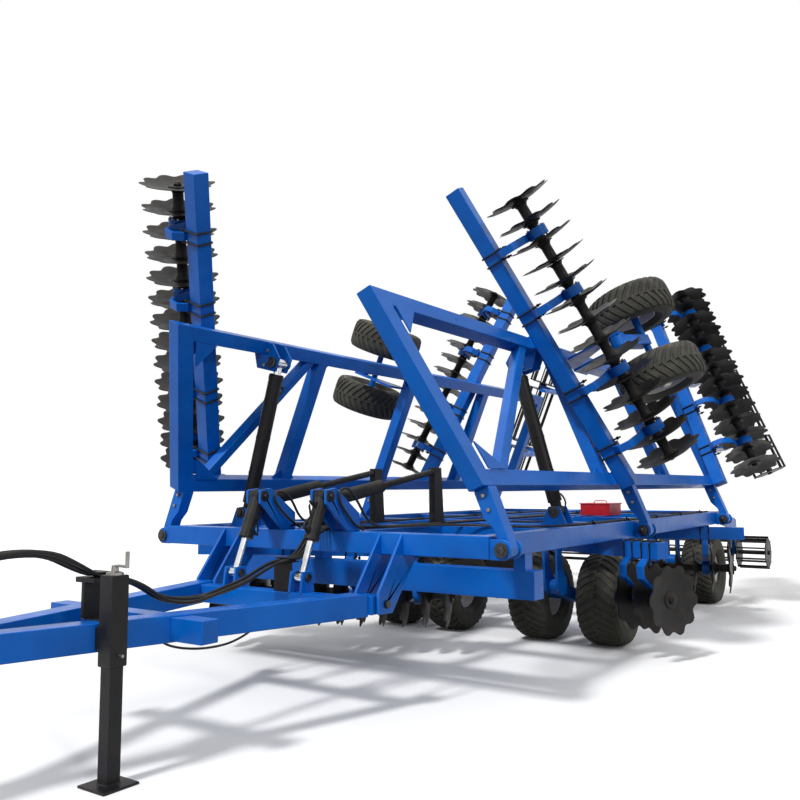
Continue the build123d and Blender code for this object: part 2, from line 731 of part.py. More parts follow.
# Jack beside the left drawbar tube
sleeve = block((jack_x - 52, jack_x + 52), (jack_y - 52, jack_y + 52), (bar_z - 140, bar_z + 330))
sleeve -= block((jack_x - 42, jack_x + 42), (jack_y - 42, jack_y + 42), (bar_z - 140, bar_z + 320))
strap = block((200, jack_x - 52), (jack_y - 45, jack_y + 45), (bar_z - 60, bar_z + 60))
keep("jack_sleeve", [sleeve + less([strap], tubes)[0]])
leg = block((jack_x - 40, jack_x + 40), (jack_y - 40, jack_y + 40), (14, bar_z - 40))
leg += block((jack_x - 110, jack_x + 110), (jack_y - 110, jack_y + 110), (0, 14))
keep("jack_leg", leg)

os.makedirs("parts", exist_ok=True)
for name, solids in nodes.items():
    moved = [Pos(0, fore_shift, 0) * s for s in solids]
    shape = moved[0] if len(moved) == 1 else Compound(children=moved)
    shape.label = name
    export_step(shape, "parts/" + name + ".step")
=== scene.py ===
import json
import math

import bmesh
import bpy
from mathutils import Matrix, Vector


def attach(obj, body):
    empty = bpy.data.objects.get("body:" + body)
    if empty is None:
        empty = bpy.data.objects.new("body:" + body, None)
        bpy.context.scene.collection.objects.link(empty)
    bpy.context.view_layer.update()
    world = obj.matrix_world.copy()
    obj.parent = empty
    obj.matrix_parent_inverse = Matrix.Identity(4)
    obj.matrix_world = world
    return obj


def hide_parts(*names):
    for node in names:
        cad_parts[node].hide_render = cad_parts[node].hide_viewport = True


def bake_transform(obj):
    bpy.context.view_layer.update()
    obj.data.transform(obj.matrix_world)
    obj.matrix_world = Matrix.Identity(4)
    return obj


# Trailed disc harrow, parked with both wings up. Metres, +X the machine's left, -Y forward, +Z up.
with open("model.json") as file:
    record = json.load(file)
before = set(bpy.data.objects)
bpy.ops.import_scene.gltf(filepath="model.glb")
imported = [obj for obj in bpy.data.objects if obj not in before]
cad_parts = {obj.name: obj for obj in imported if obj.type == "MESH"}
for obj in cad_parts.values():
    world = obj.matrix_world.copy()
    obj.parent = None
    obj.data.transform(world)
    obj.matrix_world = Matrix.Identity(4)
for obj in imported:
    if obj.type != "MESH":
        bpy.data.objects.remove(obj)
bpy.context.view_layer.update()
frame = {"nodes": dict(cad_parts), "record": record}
print("frame loaded")

layout = {
    "foreShift": -1.926,       # the sides' places along Y are counted before this move
    "hingeX": 1.65,
    "hingeZ": 1.114,
    "hingeYs": (0.0, 2.83, 5.84),
    "foldAngle": math.radians(112.6),
}

# Camera, fitted to the photograph
cameraLook = {
    "place": (4.179, -6.859, 1.527),
    "turn": math.radians(34.43),
    "tilt": math.radians(5.97),
    "roll": math.radians(-0.25),
    "focal": 37.26,
    "sensor": 36.0,
    "clipEnd": 200.0,
}


def placeCamera(look):
    data = bpy.data.cameras.new("photoCamera")
    data.lens = look["focal"]
    data.sensor_width = look["sensor"]
    data.clip_end = look["clipEnd"]
    cam = bpy.data.objects.new("photoCamera", data)
    turn = Matrix.Rotation(look["turn"], 4, "Z")
    tilt = Matrix.Rotation(math.pi / 2 + look["tilt"], 4, "X")
    roll = Matrix.Rotation(look["roll"], 4, "Z")
    cam.matrix_world = Matrix.Translation(look["place"]) @ turn @ tilt @ roll
    bpy.context.scene.collection.objects.link(cam)
    bpy.context.scene.camera = cam


placeCamera(cameraLook)
print("camera placed")

# Materials: each has its own colour, dust and wear

paintLooks = {
    "bluePaint": {
        "colour": (0.0008, 0.125, 0.53, 1), "deep": (0.0005, 0.092, 0.42, 1),
        "dust": (0.2, 0.23, 0.25, 1), "dustShare": 0.07, "shine": 0.2,
        "rough": (0.26, 0.4), "bump": 0.02, "grain": 60.0,
    },
    "blackSteel": {
        "colour": (0.012, 0.012, 0.013, 1), "deep": (0.005, 0.005, 0.006, 1),
        "dust": (0.13, 0.105, 0.08, 1), "dustShare": 0.25, "shine": 0.2,
        "rough": (0.35, 0.6), "bump": 0.12, "grain": 90.0,
    },
    "discSteel": {
        "colour": (0.016, 0.015, 0.015, 1), "deep": (0.006, 0.006, 0.006, 1),
        "dust": (0.15, 0.11, 0.075, 1), "dustShare": 0.25, "shine": 0.16,
        "rough": (0.3, 0.62), "bump": 0.16, "grain": 70.0,
    },
    "rimSteel": {
        "colour": (0.68, 0.68, 0.67, 1), "deep": (0.56, 0.555, 0.54, 1),
        "dust": (0.33, 0.28, 0.2, 1), "dustShare": 0.3, "shine": 0.4,
        "rough": (0.4, 0.62), "bump": 0.1, "grain": 80.0,
    },
    "redPaint": {
        "colour": (0.62, 0.012, 0.02, 1), "deep": (0.4, 0.006, 0.012, 1),
        "dust": (0.3, 0.22, 0.18, 1), "dustShare": 0.1, "shine": 0.35,
        "rough": (0.25, 0.4), "bump": 0.05, "grain": 60.0,
    },
    "tyreRubber": {
        "colour": (0.06, 0.06, 0.05, 1), "deep": (0.03, 0.03, 0.027, 1),
        "dust": (0.17, 0.15, 0.115, 1), "dustShare": 0.65, "shine": 0.25,
        "rough": (0.68, 0.92), "bump": 0.25, "grain": 120.0,
    },
    "hoseRubber": {
        "colour": (0.012, 0.012, 0.012, 1), "deep": (0.006, 0.006, 0.006, 1),
        "dust": (0.11, 0.09, 0.07, 1), "dustShare": 0.2, "shine": 0.3,
        "rough": (0.4, 0.62), "bump": 0.3, "grain": 260.0,
    },
}
metalLooks = {
    "rodChrome": {
        "colour": (0.72, 0.73, 0.75, 1), "dull": (0.5, 0.5, 0.5, 1),
        "rough": (0.08, 0.24), "grain": 25.0,
    },
    "pinSteel": {
        "colour": (0.06, 0.06, 0.062, 1), "dull": (0.03, 0.028, 0.026, 1),
        "rough": (0.3, 0.55), "grain": 60.0,
    },
    "boltZinc": {
        "colour": (0.3, 0.29, 0.27, 1), "dull": (0.14, 0.12, 0.1, 1),
        "rough": (0.3, 0.5), "grain": 90.0,
    },
}
# noise as scale, detail and roughness; ranges as the share of it that counts
patternLook = {
    "patches": (2.2, 5.0, 0.6), "patchRange": (0.35, 0.7),
    "dirt": (9.0, 5.0, 0.6), "dirtRange": (0.46, 0.74), "dirtGain": 1.6, "dullRange": (0.3, 0.75),
    "fine": (4.0, 0.7), "fineDepth": 0.002,
    "upRange": (0.1, 0.95), "upShare": (0.3, 1.0),           # more dust on what faces up
    "metalPatches": (6.0, 4.0, 0.6), "metalRange": (0.45, 0.75),
    "wear": (6.0, 0.7), "wearRange": (0.3, 0.7), "wearBump": 0.06, "wearDepth": 0.001,
}
slotOf = {
    "blue_paint": "bluePaint", "black_steel": "blackSteel", "disc_steel": "discSteel", "tyre": "tyreRubber",
    "rim_steel": "rimSteel", "rod_chrome": "rodChrome", "pin_steel": "pinSteel", "red_paint": "redPaint",
    "hose_rubber": "hoseRubber",
}
recordSlot = {finish: slot for slot, finish in slotOf.items()}
recordSlot["boltZinc"] = "pin_steel"
recordSlot["hoseRubber"] = "black_steel"


def addNoise(tree, spot, scale, detail, rough):
    noise = tree.nodes.new("ShaderNodeTexNoise")
    noise.inputs["Scale"].default_value = scale
    noise.inputs["Detail"].default_value = detail
    noise.inputs["Roughness"].default_value = rough
    tree.links.new(spot, noise.inputs["Vector"])
    return noise.outputs[0]


def addRange(tree, value, low, high, toLow, toHigh):
    node = tree.nodes.new("ShaderNodeMapRange")
    for i, number in ((1, low), (2, high), (3, toLow), (4, toHigh)):
        node.inputs[i].default_value = number
    tree.links.new(value, node.inputs[0])
    return node.outputs[0]


def addMix(tree, share, first, second):
    mix = tree.nodes.new("ShaderNodeMix")
    mix.data_type = "RGBA"
    tree.links.new(share, mix.inputs[0])
    for slot, value in ((6, first), (7, second)):
        if isinstance(value, tuple):
            mix.inputs[slot].default_value = value
        else:
            tree.links.new(value, mix.inputs[slot])
    return mix.outputs[2]


def addTimes(tree, first, second):
    node = tree.nodes.new("ShaderNodeMath")
    node.operation = "MULTIPLY"
    tree.links.new(first, node.inputs[0])
    tree.links.new(second, node.inputs[1])
    return node.outputs[0]


def addBump(tree, body, height, strength, distance):
    bump = tree.nodes.new("ShaderNodeBump")
    bump.inputs["Strength"].default_value = strength
    bump.inputs["Distance"].default_value = distance
    tree.links.new(height, bump.inputs["Height"])
    tree.links.new(bump.outputs[0], body.inputs["Normal"])


def startMaterial(name):
    mat = bpy.data.materials.new(name)
    mat.use_nodes = True
    tree = mat.node_tree
    spot = tree.nodes.new("ShaderNodeTexCoord").outputs["Object"]
    return mat, tree, tree.nodes["Principled BSDF"], spot


def paintMaterial(name, look):
    mat, tree, body, spot = startMaterial(name)
    pattern = patternLook
    patches = addNoise(tree, spot, *pattern["patches"])
    fine = addNoise(tree, spot, look["grain"], *pattern["fine"])
    dirt = addNoise(tree, spot, *pattern["dirt"])
    patched = addRange(tree, patches, *pattern["patchRange"], 0.0, 1.0)
    base = addMix(tree, patched, look["colour"], look["deep"])
    up = tree.nodes.new("ShaderNodeSeparateXYZ")
    tree.links.new(tree.nodes.new("ShaderNodeNewGeometry").outputs["Normal"], up.inputs[0])
    flatTop = addRange(tree, up.outputs[2], *pattern["upRange"], *pattern["upShare"])
    spread = addRange(tree, dirt, *pattern["dirtRange"], 0.0, look["dustShare"] * pattern["dirtGain"])
    dusty = addTimes(tree, flatTop, spread)
    colour = addMix(tree, dusty, base, look["dust"])
    tree.links.new(colour, body.inputs["Base Color"])
    rough = addRange(tree, dirt, *pattern["dullRange"], *look["rough"])
    tree.links.new(rough, body.inputs["Roughness"])
    body.inputs["Specular IOR Level"].default_value = look["shine"]
    addBump(tree, body, fine, look["bump"], pattern["fineDepth"])
    return mat


def metalMaterial(name, look):
    mat, tree, body, spot = startMaterial(name)
    pattern = patternLook
    body.inputs["Metallic"].default_value = 1.0
    wear = addNoise(tree, spot, look["grain"], *pattern["wear"])
    patches = addNoise(tree, spot, *pattern["metalPatches"])
    patched = addRange(tree, patches, *pattern["metalRange"], 0.0, 1.0)
    colour = addMix(tree, patched, look["colour"], look["dull"])
    tree.links.new(colour, body.inputs["Base Color"])
    rough = addRange(tree, wear, *pattern["wearRange"], *look["rough"])
    tree.links.new(rough, body.inputs["Roughness"])
    addBump(tree, body, wear, pattern["wearBump"], pattern["wearDepth"])
    return mat


finishes = {}
for name, look in paintLooks.items():
    finishes[name] = paintMaterial(name, look)
for name, look in metalLooks.items():
    finishes[name] = metalMaterial(name, look)
print("materials made")

# Mesh helpers: a shape is a growing list of corners and faces
shadeLook = {"sharpFrom": math.radians(38), "bevelFrom": math.radians(40), "segments": 2}
boltLook = {                   # shares of the size across flats
    "washer": 0.72, "washerZs": (-0.002, 0.003), "head": 0.65, "end": ((0, 0.3), (0.95, 0.3), (1.05, 0.22)),
}
hexProfile = ((0, 1.0), (0.85, 1.0), (1, 0.9))    # shares of height and radius


def newShape():
    return {"corners": [], "faces": []}


def aimed(origin, direction):
    turn = Vector(direction).to_track_quat("Z", "Y").to_matrix().to_4x4()
    return Matrix.Translation(Vector(origin)) @ turn


def addCorners(shape, points, place):
    first = len(shape["corners"])
    shape["corners"] += [tuple(place @ Vector(p)) for p in points]
    return first


def addRings(shape, rings, place, closeEnds=True, loop=False):
    # rings of equally many points, joined one to the next
    count = len(rings[0])
    starts = [addCorners(shape, ring, place) for ring in rings]
    pairs = list(zip(starts, starts[1:]))
    if loop:
        pairs.append((starts[-1], starts[0]))
    for a, b in pairs:
        for i in range(count):
            j = (i + 1) % count
            shape["faces"].append((a + i, a + j, b + j, b + i))
    if closeEnds and not loop:
        shape["faces"].append(tuple(starts[0] + i for i in reversed(range(count))))
        shape["faces"].append(tuple(starts[-1] + i for i in range(count)))


def addTurned(shape, profile, place, sides=32, loop=False):
    # profile rows of height along the axis and radius
    rings = []
    for height, radius in profile:
        ring = []
        for i in range(sides):
            angle = 2 * math.pi * i / sides
            ring.append((radius * math.cos(angle), radius * math.sin(angle), height))
        rings.append(ring)
    addRings(shape, rings, place, loop=loop)


def addBlock(shape, low, high, place=Matrix.Identity(4)):
    (x0, y0, z0), (x1, y1, z1) = low, high
    floor = [(x0, y0, z0), (x1, y0, z0), (x1, y1, z0), (x0, y1, z0)]
    roof = [(x, y, z1) for x, y, z in floor]
    addRings(shape, [floor, roof], place)


def addHex(shape, across, height, place):
    radius = across / math.sqrt(3)
    rings = []
    for up, share in hexProfile:
        wide = radius * share
        turns = [math.pi * i / 3 for i in range(6)]
        rings.append([(wide * math.cos(turn), wide * math.sin(turn), height * up) for turn in turns])
    addRings(shape, rings, place)


def addBolt(shape, origin, direction, across=0.03):
    place, look = aimed(origin, direction), boltLook
    addTurned(shape, [(z, across * look["washer"]) for z in look["washerZs"]], place, 14)
    addHex(shape, across, across * look["head"], place @ Matrix.Translation((0, 0, look["washerZs"][1])))
    addTurned(shape, [(across * up, across * radius) for up, radius in look["end"]], place, 10)


def addPipe(shape, points, radius, sides=8, loop=False):
    points = [Vector(p) for p in points]
    rings = []
    for i, spot in enumerate(points):
        before = points[i - 1] if i > 0 or loop else spot
        after = points[(i + 1) % len(points)] if i < len(points) - 1 or loop else spot
        turn = (after - before).normalized().to_track_quat("Z", "X").to_matrix()
        rings.append([
            spot + turn @ Vector((radius * math.cos(a), radius * math.sin(a), 0))
            for a in (2 * math.pi * k / sides for k in range(sides))
        ])
    addRings(shape, rings, Matrix.Identity(4), loop=loop)


def finishPiece(name, shape, finish, body, smooth=False, bevel=0.0, replaced=()):
    mesh = bpy.data.meshes.new(name)
    mesh.from_pydata(shape["corners"], [], shape["faces"])
    edit = bmesh.new()
    edit.from_mesh(mesh)
    bmesh.ops.recalc_face_normals(edit, faces=edit.faces)
    edit.to_mesh(mesh)
    edit.free()
    piece = bpy.data.objects.new(name, mesh)
    bpy.context.scene.collection.objects.link(piece)
    mesh.materials.append(finishes[finish])
    if smooth:
        mesh.shade_smooth()
        mesh.set_sharp_from_angle(angle=shadeLook["sharpFrom"])
    if bevel:
        edge = piece.modifiers.new("softEdges", "BEVEL")
        edge.width = bevel
        edge.segments = shadeLook["segments"]
        edge.limit_method = "ANGLE"
        edge.angle_limit = shadeLook["bevelFrom"]
    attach(piece, body)
    for node in replaced:
        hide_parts(node)
    return piece


def along(y):
    return y + layout["foreShift"]


def shifted(x, y, z):
    return Vector((x, along(y), z))


def lifted(side):
    # turns a wing's flat place up about its hinge line
    pin = Matrix.Translation((side * layout["hingeX"], 0, layout["hingeZ"]))
    return pin @ Matrix.Rotation(-side * layout["foldAngle"], 4, "Y") @ pin.inverted()


wordOf = {1: "left", -1: "right"}
flat = Matrix.Identity(4)

# CAD nodes: their finish, and soft edges on the welded steel
edgeLook = {"width": 0.006, "thinWidth": 0.003, "merge": 0.00005}
hardNodes = [
    "frame_long_rails", "frame_cross_members", "frame_lugs", "frame_brackets", "centre_under_frame",
    "centre_gang_beams", "centre_gang_hangers", "centre_wheel_arms", "levelling_struts", "drawbar_tubes",
    "drawbar_members", "towing_eye", "oil_box", "jack_leg", "jack_sleeve", "hose_stand",
]
wingParts = ("long_rails", "cross_members", "brackets", "arms", "gang_beams", "gang_hangers")
hardNodes += ["wing_%s_%s" % (word, part) for word in wordOf.values() for part in wingParts]
slots = {part["node"]: part["material_slot"] for part in frame["record"]["subparts"]}
for node, obj in frame["nodes"].items():
    obj.data.materials.clear()
    obj.data.materials.append(finishes[slotOf[slots[node]]])
    if node in hardNodes:
        join = obj.modifiers.new("joinedCorners", "WELD")
        join.merge_threshold = edgeLook["merge"]
        edge = obj.modifiers.new("softEdges", "BEVEL")
        edge.width = edgeLook["thinWidth" if "hangers" in node else "width"]
        edge.segments = shadeLook["segments"]
        edge.limit_method = "ANGLE"
        edge.angle_limit = shadeLook["bevelFrom"]
        obj.modifiers.new("evenShade", "WEIGHTED_NORMAL")
print("frame finished")

# Wheels: a carcass with chevron lugs, on the rim from the frame
tyreLook = {
    "big": {"radius": 0.437, "half": 0.202, "rim": 0.205, "lugs": 34},
    "small": {"radius": 0.412, "half": 0.172, "rim": 0.205, "lugs": 32},
    "sides": 72,
    "crown": (0.4, 0.78, 0.93), "crownDrops": (0.045, 0.12),    # shares of the half width and of the wall
    # share of the half width, and of the lug's height under the tread
    "tread": ((0.0, 1.0), (0.4, 1.0), (0.74, 1.0), (0.88, 0.9)),
    # share of the half width, and of the wall above the rim
    "wall": ((0.955, 0.72), (0.985, 0.6), (0.99, 0.44), (0.97, 0.3), (0.985, 0.27), (0.93, 0.2), (0.8, 0.09),
             (0.74, 0.03), (0.68, 0.035)),
    "bead": (0.62, -0.003),
}
lugLook = {
    "height": 0.014, "width": 0.036, "depth": 1.6,
    "shares": (-0.06, 0.2, 0.45, 0.7, 0.9, 0.975, 1.0), "end": 0.985,
    "sweep": 0.3, "sweepPower": 1.25,              # how far a lug runs round the tyre to the shoulder, radians
    "shoulder": 0.95, "shoulderDrop": 0.02, "shoulderSlope": 0.9,
    "halfWidth": 0.5, "widening": 0.22, "footWidth": 1.3,
}
wheelSets = (                  # word, side, size, and rows of x, y, z and the way the rim's disc faces
    ("main", 1, "big", ((0.505, 2.97, 0.437, -1), (1.216, 2.97, 0.437, 1))),
    ("main", -1, "big", ((0.505, 2.97, 0.437, -1), (1.216, 2.97, 0.437, 1))),
    ("rear", 1, "big", ((1.216, 6.435, 0.437, 1),)),
    ("rear", -1, "big", ((1.216, 6.435, 0.437, 1),)),
    ("wing", 1, "small", ((2.98, 3.05, 0.437, -1), (3.69, 3.05, 0.437, 1))),
    ("wing", -1, "small", ((2.98, 3.05, 0.437, -1), (3.69, 3.05, 0.437, 1))),
)

hubLook = {
    "face": 0.62, "cap": ((-0.004, 0.058), (0.018, 0.056), (0.03, 0.046), (0.036, 0.02), (0.037, 0.001)),
    "nuts": 6, "nutCircle": 0.107, "nutFace": 0.17, "nut": (0.03, 0.024),
    "stud": ((0.0, 0.009), (0.032, 0.009), (0.034, 0.006)),
}


def treadRadius(size, across):
    # outer radius of the tread at a share of the half width
    wall = size["radius"] - size["rim"]
    flatTo, roundTo, edgeTo = tyreLook["crown"]
    drop, edgeDrop = tyreLook["crownDrops"]
    if across < flatTo:
        return size["radius"]
    if across < roundTo:
        return size["radius"] - drop * wall * (across - flatTo) / (roundTo - flatTo)
    return size["radius"] - (drop + edgeDrop * (across - roundTo) / (edgeTo - roundTo)) * wall


def addTyre(shape, size, place):
    wall, half = size["radius"] - size["rim"], size["half"]
    right = [(x * half, treadRadius(size, x) - lugLook["height"] * deep) for x, deep in tyreLook["tread"]]
    right += [(x * half, size["rim"] + up * wall) for x, up in tyreLook["wall"]]
    bead, sunk = tyreLook["bead"]
    right.append((bead * half, size["rim"] + sunk))
    profile = [(-x, r) for x, r in reversed(right)] + right[1:]
    addTurned(shape, profile, place, tyreLook["sides"], loop=True)


def addLugs(shape, size, place):
    look, half, count = lugLook, size["half"], size["lugs"]
    for turn in (-1, 1):
        for k in range(count):
            base = 2 * math.pi * (k + (0.5 if turn > 0 else 0.0)) / count
            rings = []
            for share in look["shares"]:
                x = turn * half * min(share, look["end"])
                swing = base + look["sweep"] * (max(share, 0) ** look["sweepPower"])
                top = treadRadius(size, min(abs(share), tyreLook["crown"][2]))
                if share > look["shoulder"]:
                    top -= look["shoulderDrop"] + (share - look["shoulder"]) * look["shoulderSlope"]
                foot = top - look["height"] * look["depth"]
                wide = look["width"] * (look["halfWidth"] + look["widening"] * max(share, 0))
                broad = wide * look["footWidth"]
                ring = []
                for side, radius, width in ((-1, foot, broad), (-1, top, wide), (1, top, wide), (1, foot, broad)):
                    angle = swing + side * width / size["radius"]
                    ring.append((radius * math.cos(angle), radius * math.sin(angle), x))
                rings.append(ring)
            addRings(shape, rings, place)


def addHub(shape, size, place, out):
    # dome over the hub, and the ring of wheel nuts on the disc
    look = hubLook
    face = look["face"] * size["half"]
    turned = place if out > 0 else place @ Matrix.Rotation(math.pi, 4, "X")
    addTurned(shape, [(face + up, radius) for up, radius in look["cap"]], turned, 28)
    for k in range(look["nuts"]):
        angle = math.pi * (k + 0.5) / 3
        ring = look["nutCircle"]
        spot = (ring * math.cos(angle), ring * math.sin(angle), look["nutFace"] * size["half"])
        seat = turned @ Matrix.Translation(spot)
        addHex(shape, *look["nut"], seat)
        addTurned(shape, look["stud"], seat, 10)


for word, side, kind, rows in wheelSets:
    size = tyreLook[kind]
    name = word + wordOf[side].capitalize()
    node = "_" + word + "_" + wordOf[side]
    carcass, hubs = newShape(), newShape()
    for x, y, z, out in rows:
        turned = (lifted(side) if word == "wing" else flat) @ aimed((side * x, y, z), (side, 0, 0))
        turned = Matrix.Translation((0, layout["foreShift"], 0)) @ turned
        addTyre(carcass, size, turned)
        addLugs(carcass, size, turned)
        addHub(hubs, size, turned, out)
    old = ("tyres" + node,)
    finishPiece("tyre" + name, carcass, "tyreRubber", "wheels" + node, smooth=True, replaced=old)
    finishPiece("hub" + name, hubs, "boltZinc", "wheels" + node, smooth=True)
print("wheels made")

# Gangs: dished discs with scooped edges, on a shaft with bell spools and end nuts
discLook = {
    "radius": 0.307, "scoop": 0.04, "teeth": 10, "dish": 0.042, "thick": 0.007, "sides": 80, "spin": 17.0,
    "shares": (0.12, 0.3, 0.5, 0.68, 0.84, 0.95, 1.0), "scoopFrom": 0.5, "scoopPower": 1.4, "edgeThin": 0.3,
}
spoolLook = {"end": ((0.004, 0.085), (0.012, 0.085), (0.02, 0.06), (0.045, 0.046)), "sides": 24}
gangLook = {
    "gap": 0.2, "axleZ": 0.54, "beamZ": 0.964, "beamSize": 0.14, "tail": 0.045, "axle": 0.021,
    "washer": ((0.004, 0.075), (0.014, 0.075), (0.018, 0.06)), "nut": (0.062, 0.02), "nutOut": 0.018,
    "boltCircle": 0.076, "boltOut": 0.045, "bolt": (0.017, 0.011),
}
strapLook = {
    "apart": 0.046, "radius": 0.0085, "drop": 0.05, "clear": 0.009, "bend": 0.02,
    "nut": (0.027, 0.018), "nutUp": 0.55,
}
gangRows = (                   # word, side, start, count, y at nought, slope, beam ahead, way of the dish
    ("centre_right_front", -1, -0.186, 12, 1.63, -0.44, 0.15, 1),
    ("centre_right_rear", -1, 0.416, 9, 3.68, 0.27, 0.2, -1),
    ("centre_left_front", 1, 1.6, 3, 3.29, -0.44, 0.11, 1),
    ("centre_left_rear", 1, 0.226, 9, 5.1, 0.27, 0.2, -1),
    ("wing_right_front", -1, 0.5, 14, 0.76, -0.44, 0.14, 1),
    ("wing_right_rear", -1, 0.5, 14, 4.13, 0.27, 0.2, -1),
    ("wing_left_front", 1, 0.5, 14, 2.73, -0.44, 0.11, 1),
    ("wing_left_rear", 1, 0.5, 14, 5.85, 0.27, 0.2, -1),
)


def addDisc(shape, place, dish, spin):
    look = discLook
    rings = []
    shares, half = look["shares"], look["thick"] / 2
    for lift, order in ((half, shares), (-half, tuple(reversed(shares)))):
        for share in order:
            ring = []
            reach = max(0.0, (share - look["scoopFrom"]) / (1 - look["scoopFrom"]))
            for i in range(look["sides"]):
                angle = 2 * math.pi * i / look["sides"]
                scoop = (0.5 - 0.5 * math.cos(look["teeth"] * angle)) ** look["scoopPower"]
                radius = (look["radius"] - look["scoop"] * scoop * reach) * share
                depth = look["dish"] * (radius / look["radius"]) ** 2
                thin = lift if share < 1.0 else lift * look["edgeThin"]
                turned = angle + math.radians(spin)
                ring.append((radius * math.cos(turned), radius * math.sin(turned), dish * depth + thin))
            rings.append(ring)
    addRings(shape, rings, place, loop=True)


def addSpool(shape, place, length):
    near = list(spoolLook["end"])
    far = [(length - up, radius) for up, radius in reversed(near)]
    addTurned(shape, near + far, place, spoolLook["sides"])


def hangerSlots(count):
    # the gaps between discs that have a hanger
    if count == 3:
        return (0, 1)
    if count < 10:
        return (1, count // 2 - 1, count - 3)
    return (1, count // 3, 2 * count // 3 - 1, count - 3)


def gangPlace(row, x, dy, z):
    word, side, start, count, y0, slope, ahead, dish = row
    base = layout["hingeX"] if word.startswith("wing") else 0.0
    return Vector((side * (base + x), y0 + slope * x + dy, z))


def addStrap(shape, middle, level, across):
    # a bent bolt round the beam, with its nuts under the spring's leaf
    look = strapLook
    half, bend = gangLook["beamSize"] / 2 + look["clear"], look["bend"]
    up = Vector((0, 0, 1))
    path = [middle - across * half - up * (half + look["drop"])]
    for way, turns in ((-1, (180, 157, 135, 112, 90)), (1, (90, 67, 45, 22, 0))):
        for turn in turns:
            angle = math.radians(turn)
            out, rise = way * (half - bend) + bend * math.cos(angle), half - bend + bend * math.sin(angle)
            path.append(middle + across * out + up * rise)
    path.append(middle + across * half - up * (half + look["drop"]))
    addPipe(shape, [level @ p for p in path], look["radius"], 8)
    for end in (-1, 1):
        foot = middle + across * (end * half) - up * (half + look["drop"] * look["nutUp"])
        addHex(shape, *look["nut"], level @ Matrix.Translation(foot))


for row in gangRows:
    word, side, start, count, y0, slope, ahead, dish = row
    wing = word.startswith("wing")
    level = Matrix.Translation((0, layout["foreShift"], 0)) @ (lifted(side) if wing else flat)
    step = gangLook["gap"] / math.hypot(1, slope)
    first = gangPlace(row, start, 0, gangLook["axleZ"])
    last = gangPlace(row, start + (count - 1) * step, 0, gangLook["axleZ"])
    run = (last - first).normalized()
    shaft = level @ aimed(first, run)
    length = (last - first).length
    discs = newShape()
    for i in range(count):
        spot = shaft @ Matrix.Translation((0, 0, i * length / (count - 1)))
        addDisc(discs, spot, dish, discLook["spin"] * i)
        if i < count - 1:
            addSpool(discs, spot, gangLook["gap"])
    tail = gangLook["tail"]
    addTurned(discs, ((-tail, gangLook["axle"]), (length + tail, gangLook["axle"])), shaft, 12)
    for end, turned in ((0, Matrix.Rotation(math.pi, 4, "X")), (length, flat)):
        seat = shaft @ Matrix.Translation((0, 0, end)) @ turned
        addTurned(discs, gangLook["washer"], seat, 20)
        addHex(discs, *gangLook["nut"], seat @ Matrix.Translation((0, 0, gangLook["nutOut"])))
    name = "gang_" + word
    finishPiece(name + "_discs", discs, "discSteel", name, smooth=True, replaced=(name,))
    # bolts on the bearings and round the beam
    carrier = "wing_" + wordOf[side] if wing else "frame"
    straps, bolts = newShape(), newShape()
    across = run.cross(Vector((0, 0, 1)))
    for slot in hangerSlots(count):
        x = start + (slot + 0.5) * step
        square = slope * ahead / (1 + slope * slope)
        beamSpot = gangPlace(row, x + square, -ahead, gangLook["beamZ"])
        for end in (-1, 1):
            addStrap(straps, beamSpot + run * (end * strapLook["apart"]), level, across)
        axle = gangPlace(row, x, 0, gangLook["axleZ"])
        for end in (-1, 1):
            for k in range(4):
                angle = math.pi * (k + 0.5) / 2
                ring = gangLook["boltCircle"]
                spot = axle + across * (ring * math.cos(angle)) + Vector((0, 0, ring * math.sin(angle)))
                spot = spot + run * (end * gangLook["boltOut"])
                addHex(bolts, *gangLook["bolt"], level @ aimed(spot, run * end))
    finishPiece(name + "_straps", straps, "blackSteel", carrier, smooth=True)
    finishPiece(name + "_bearingBolts", bolts, "boltZinc", carrier)
print("gangs made")

# Rams: ports, pipes, gland rings, bands and pins
ramLook = {
    "footX": 1.17, "footZ": 1.304, "headS": 1.71, "headUp": 0.2, "foldYs": {1: 1.9, -1: 0.45},
    "barrel": 0.062, "ports": (0.15, 0.21), "portTurn": {1: math.pi, -1: 0.0},
    "bands": (0.36, 0.34), "bandHalf": 0.012, "bandRadius": 0.0645,
    "gland": ((-0.108, 0.0655), (-0.1, 0.058), (-0.1, 0.04)),
    "sides": 28,
}
levelLook = {
    "x": 0.32, "head": (-0.3, 1.46), "foot": (-0.52, 0.905), "barrel": 0.05, "ports": (0.08, 0.27),
    "gland": ((0.331, 0.053), (0.336, 0.04), (0.336, 0.028)), "sides": 24,
}
portLook = {
    "low": (-0.012, -0.018, -0.018), "high": (0.02, 0.018, 0.018), "elbowAt": 0.018,
    "elbow": ((0.0, 0.014), (0.03, 0.014), (0.032, 0.011), (0.046, 0.011)),
    "out": 0.056, "pipe": 0.008,
}
pinLook = {                    # washer's profile and place on the pin, nut's size and place
    "foldFoot": {"washer": ((0.0, 0.05), (0.008, 0.05), (0.01, 0.046)), "sides": 24, "out": 0.0842,
                 "nut": (0.045, 0.02), "nutOut": 0.092},
    "foldHead": {"washer": ((-0.008, 0.048), (0.006, 0.048), (0.01, 0.042)), "sides": 24, "out": 0.0985,
                 "nut": (0.042, 0.016), "nutOut": 0.108},
    "levelHead": {"washer": ((-0.004, 0.042), (0.006, 0.042), (0.008, 0.038)), "sides": 20, "out": 0.0745,
                  "nut": (0.036, 0.02), "nutOut": 0.082},
    "levelFoot": {"washer": ((0.0, 0.03), (0.01, 0.03), (0.012, 0.026)), "sides": 20, "out": 0.0605},
}


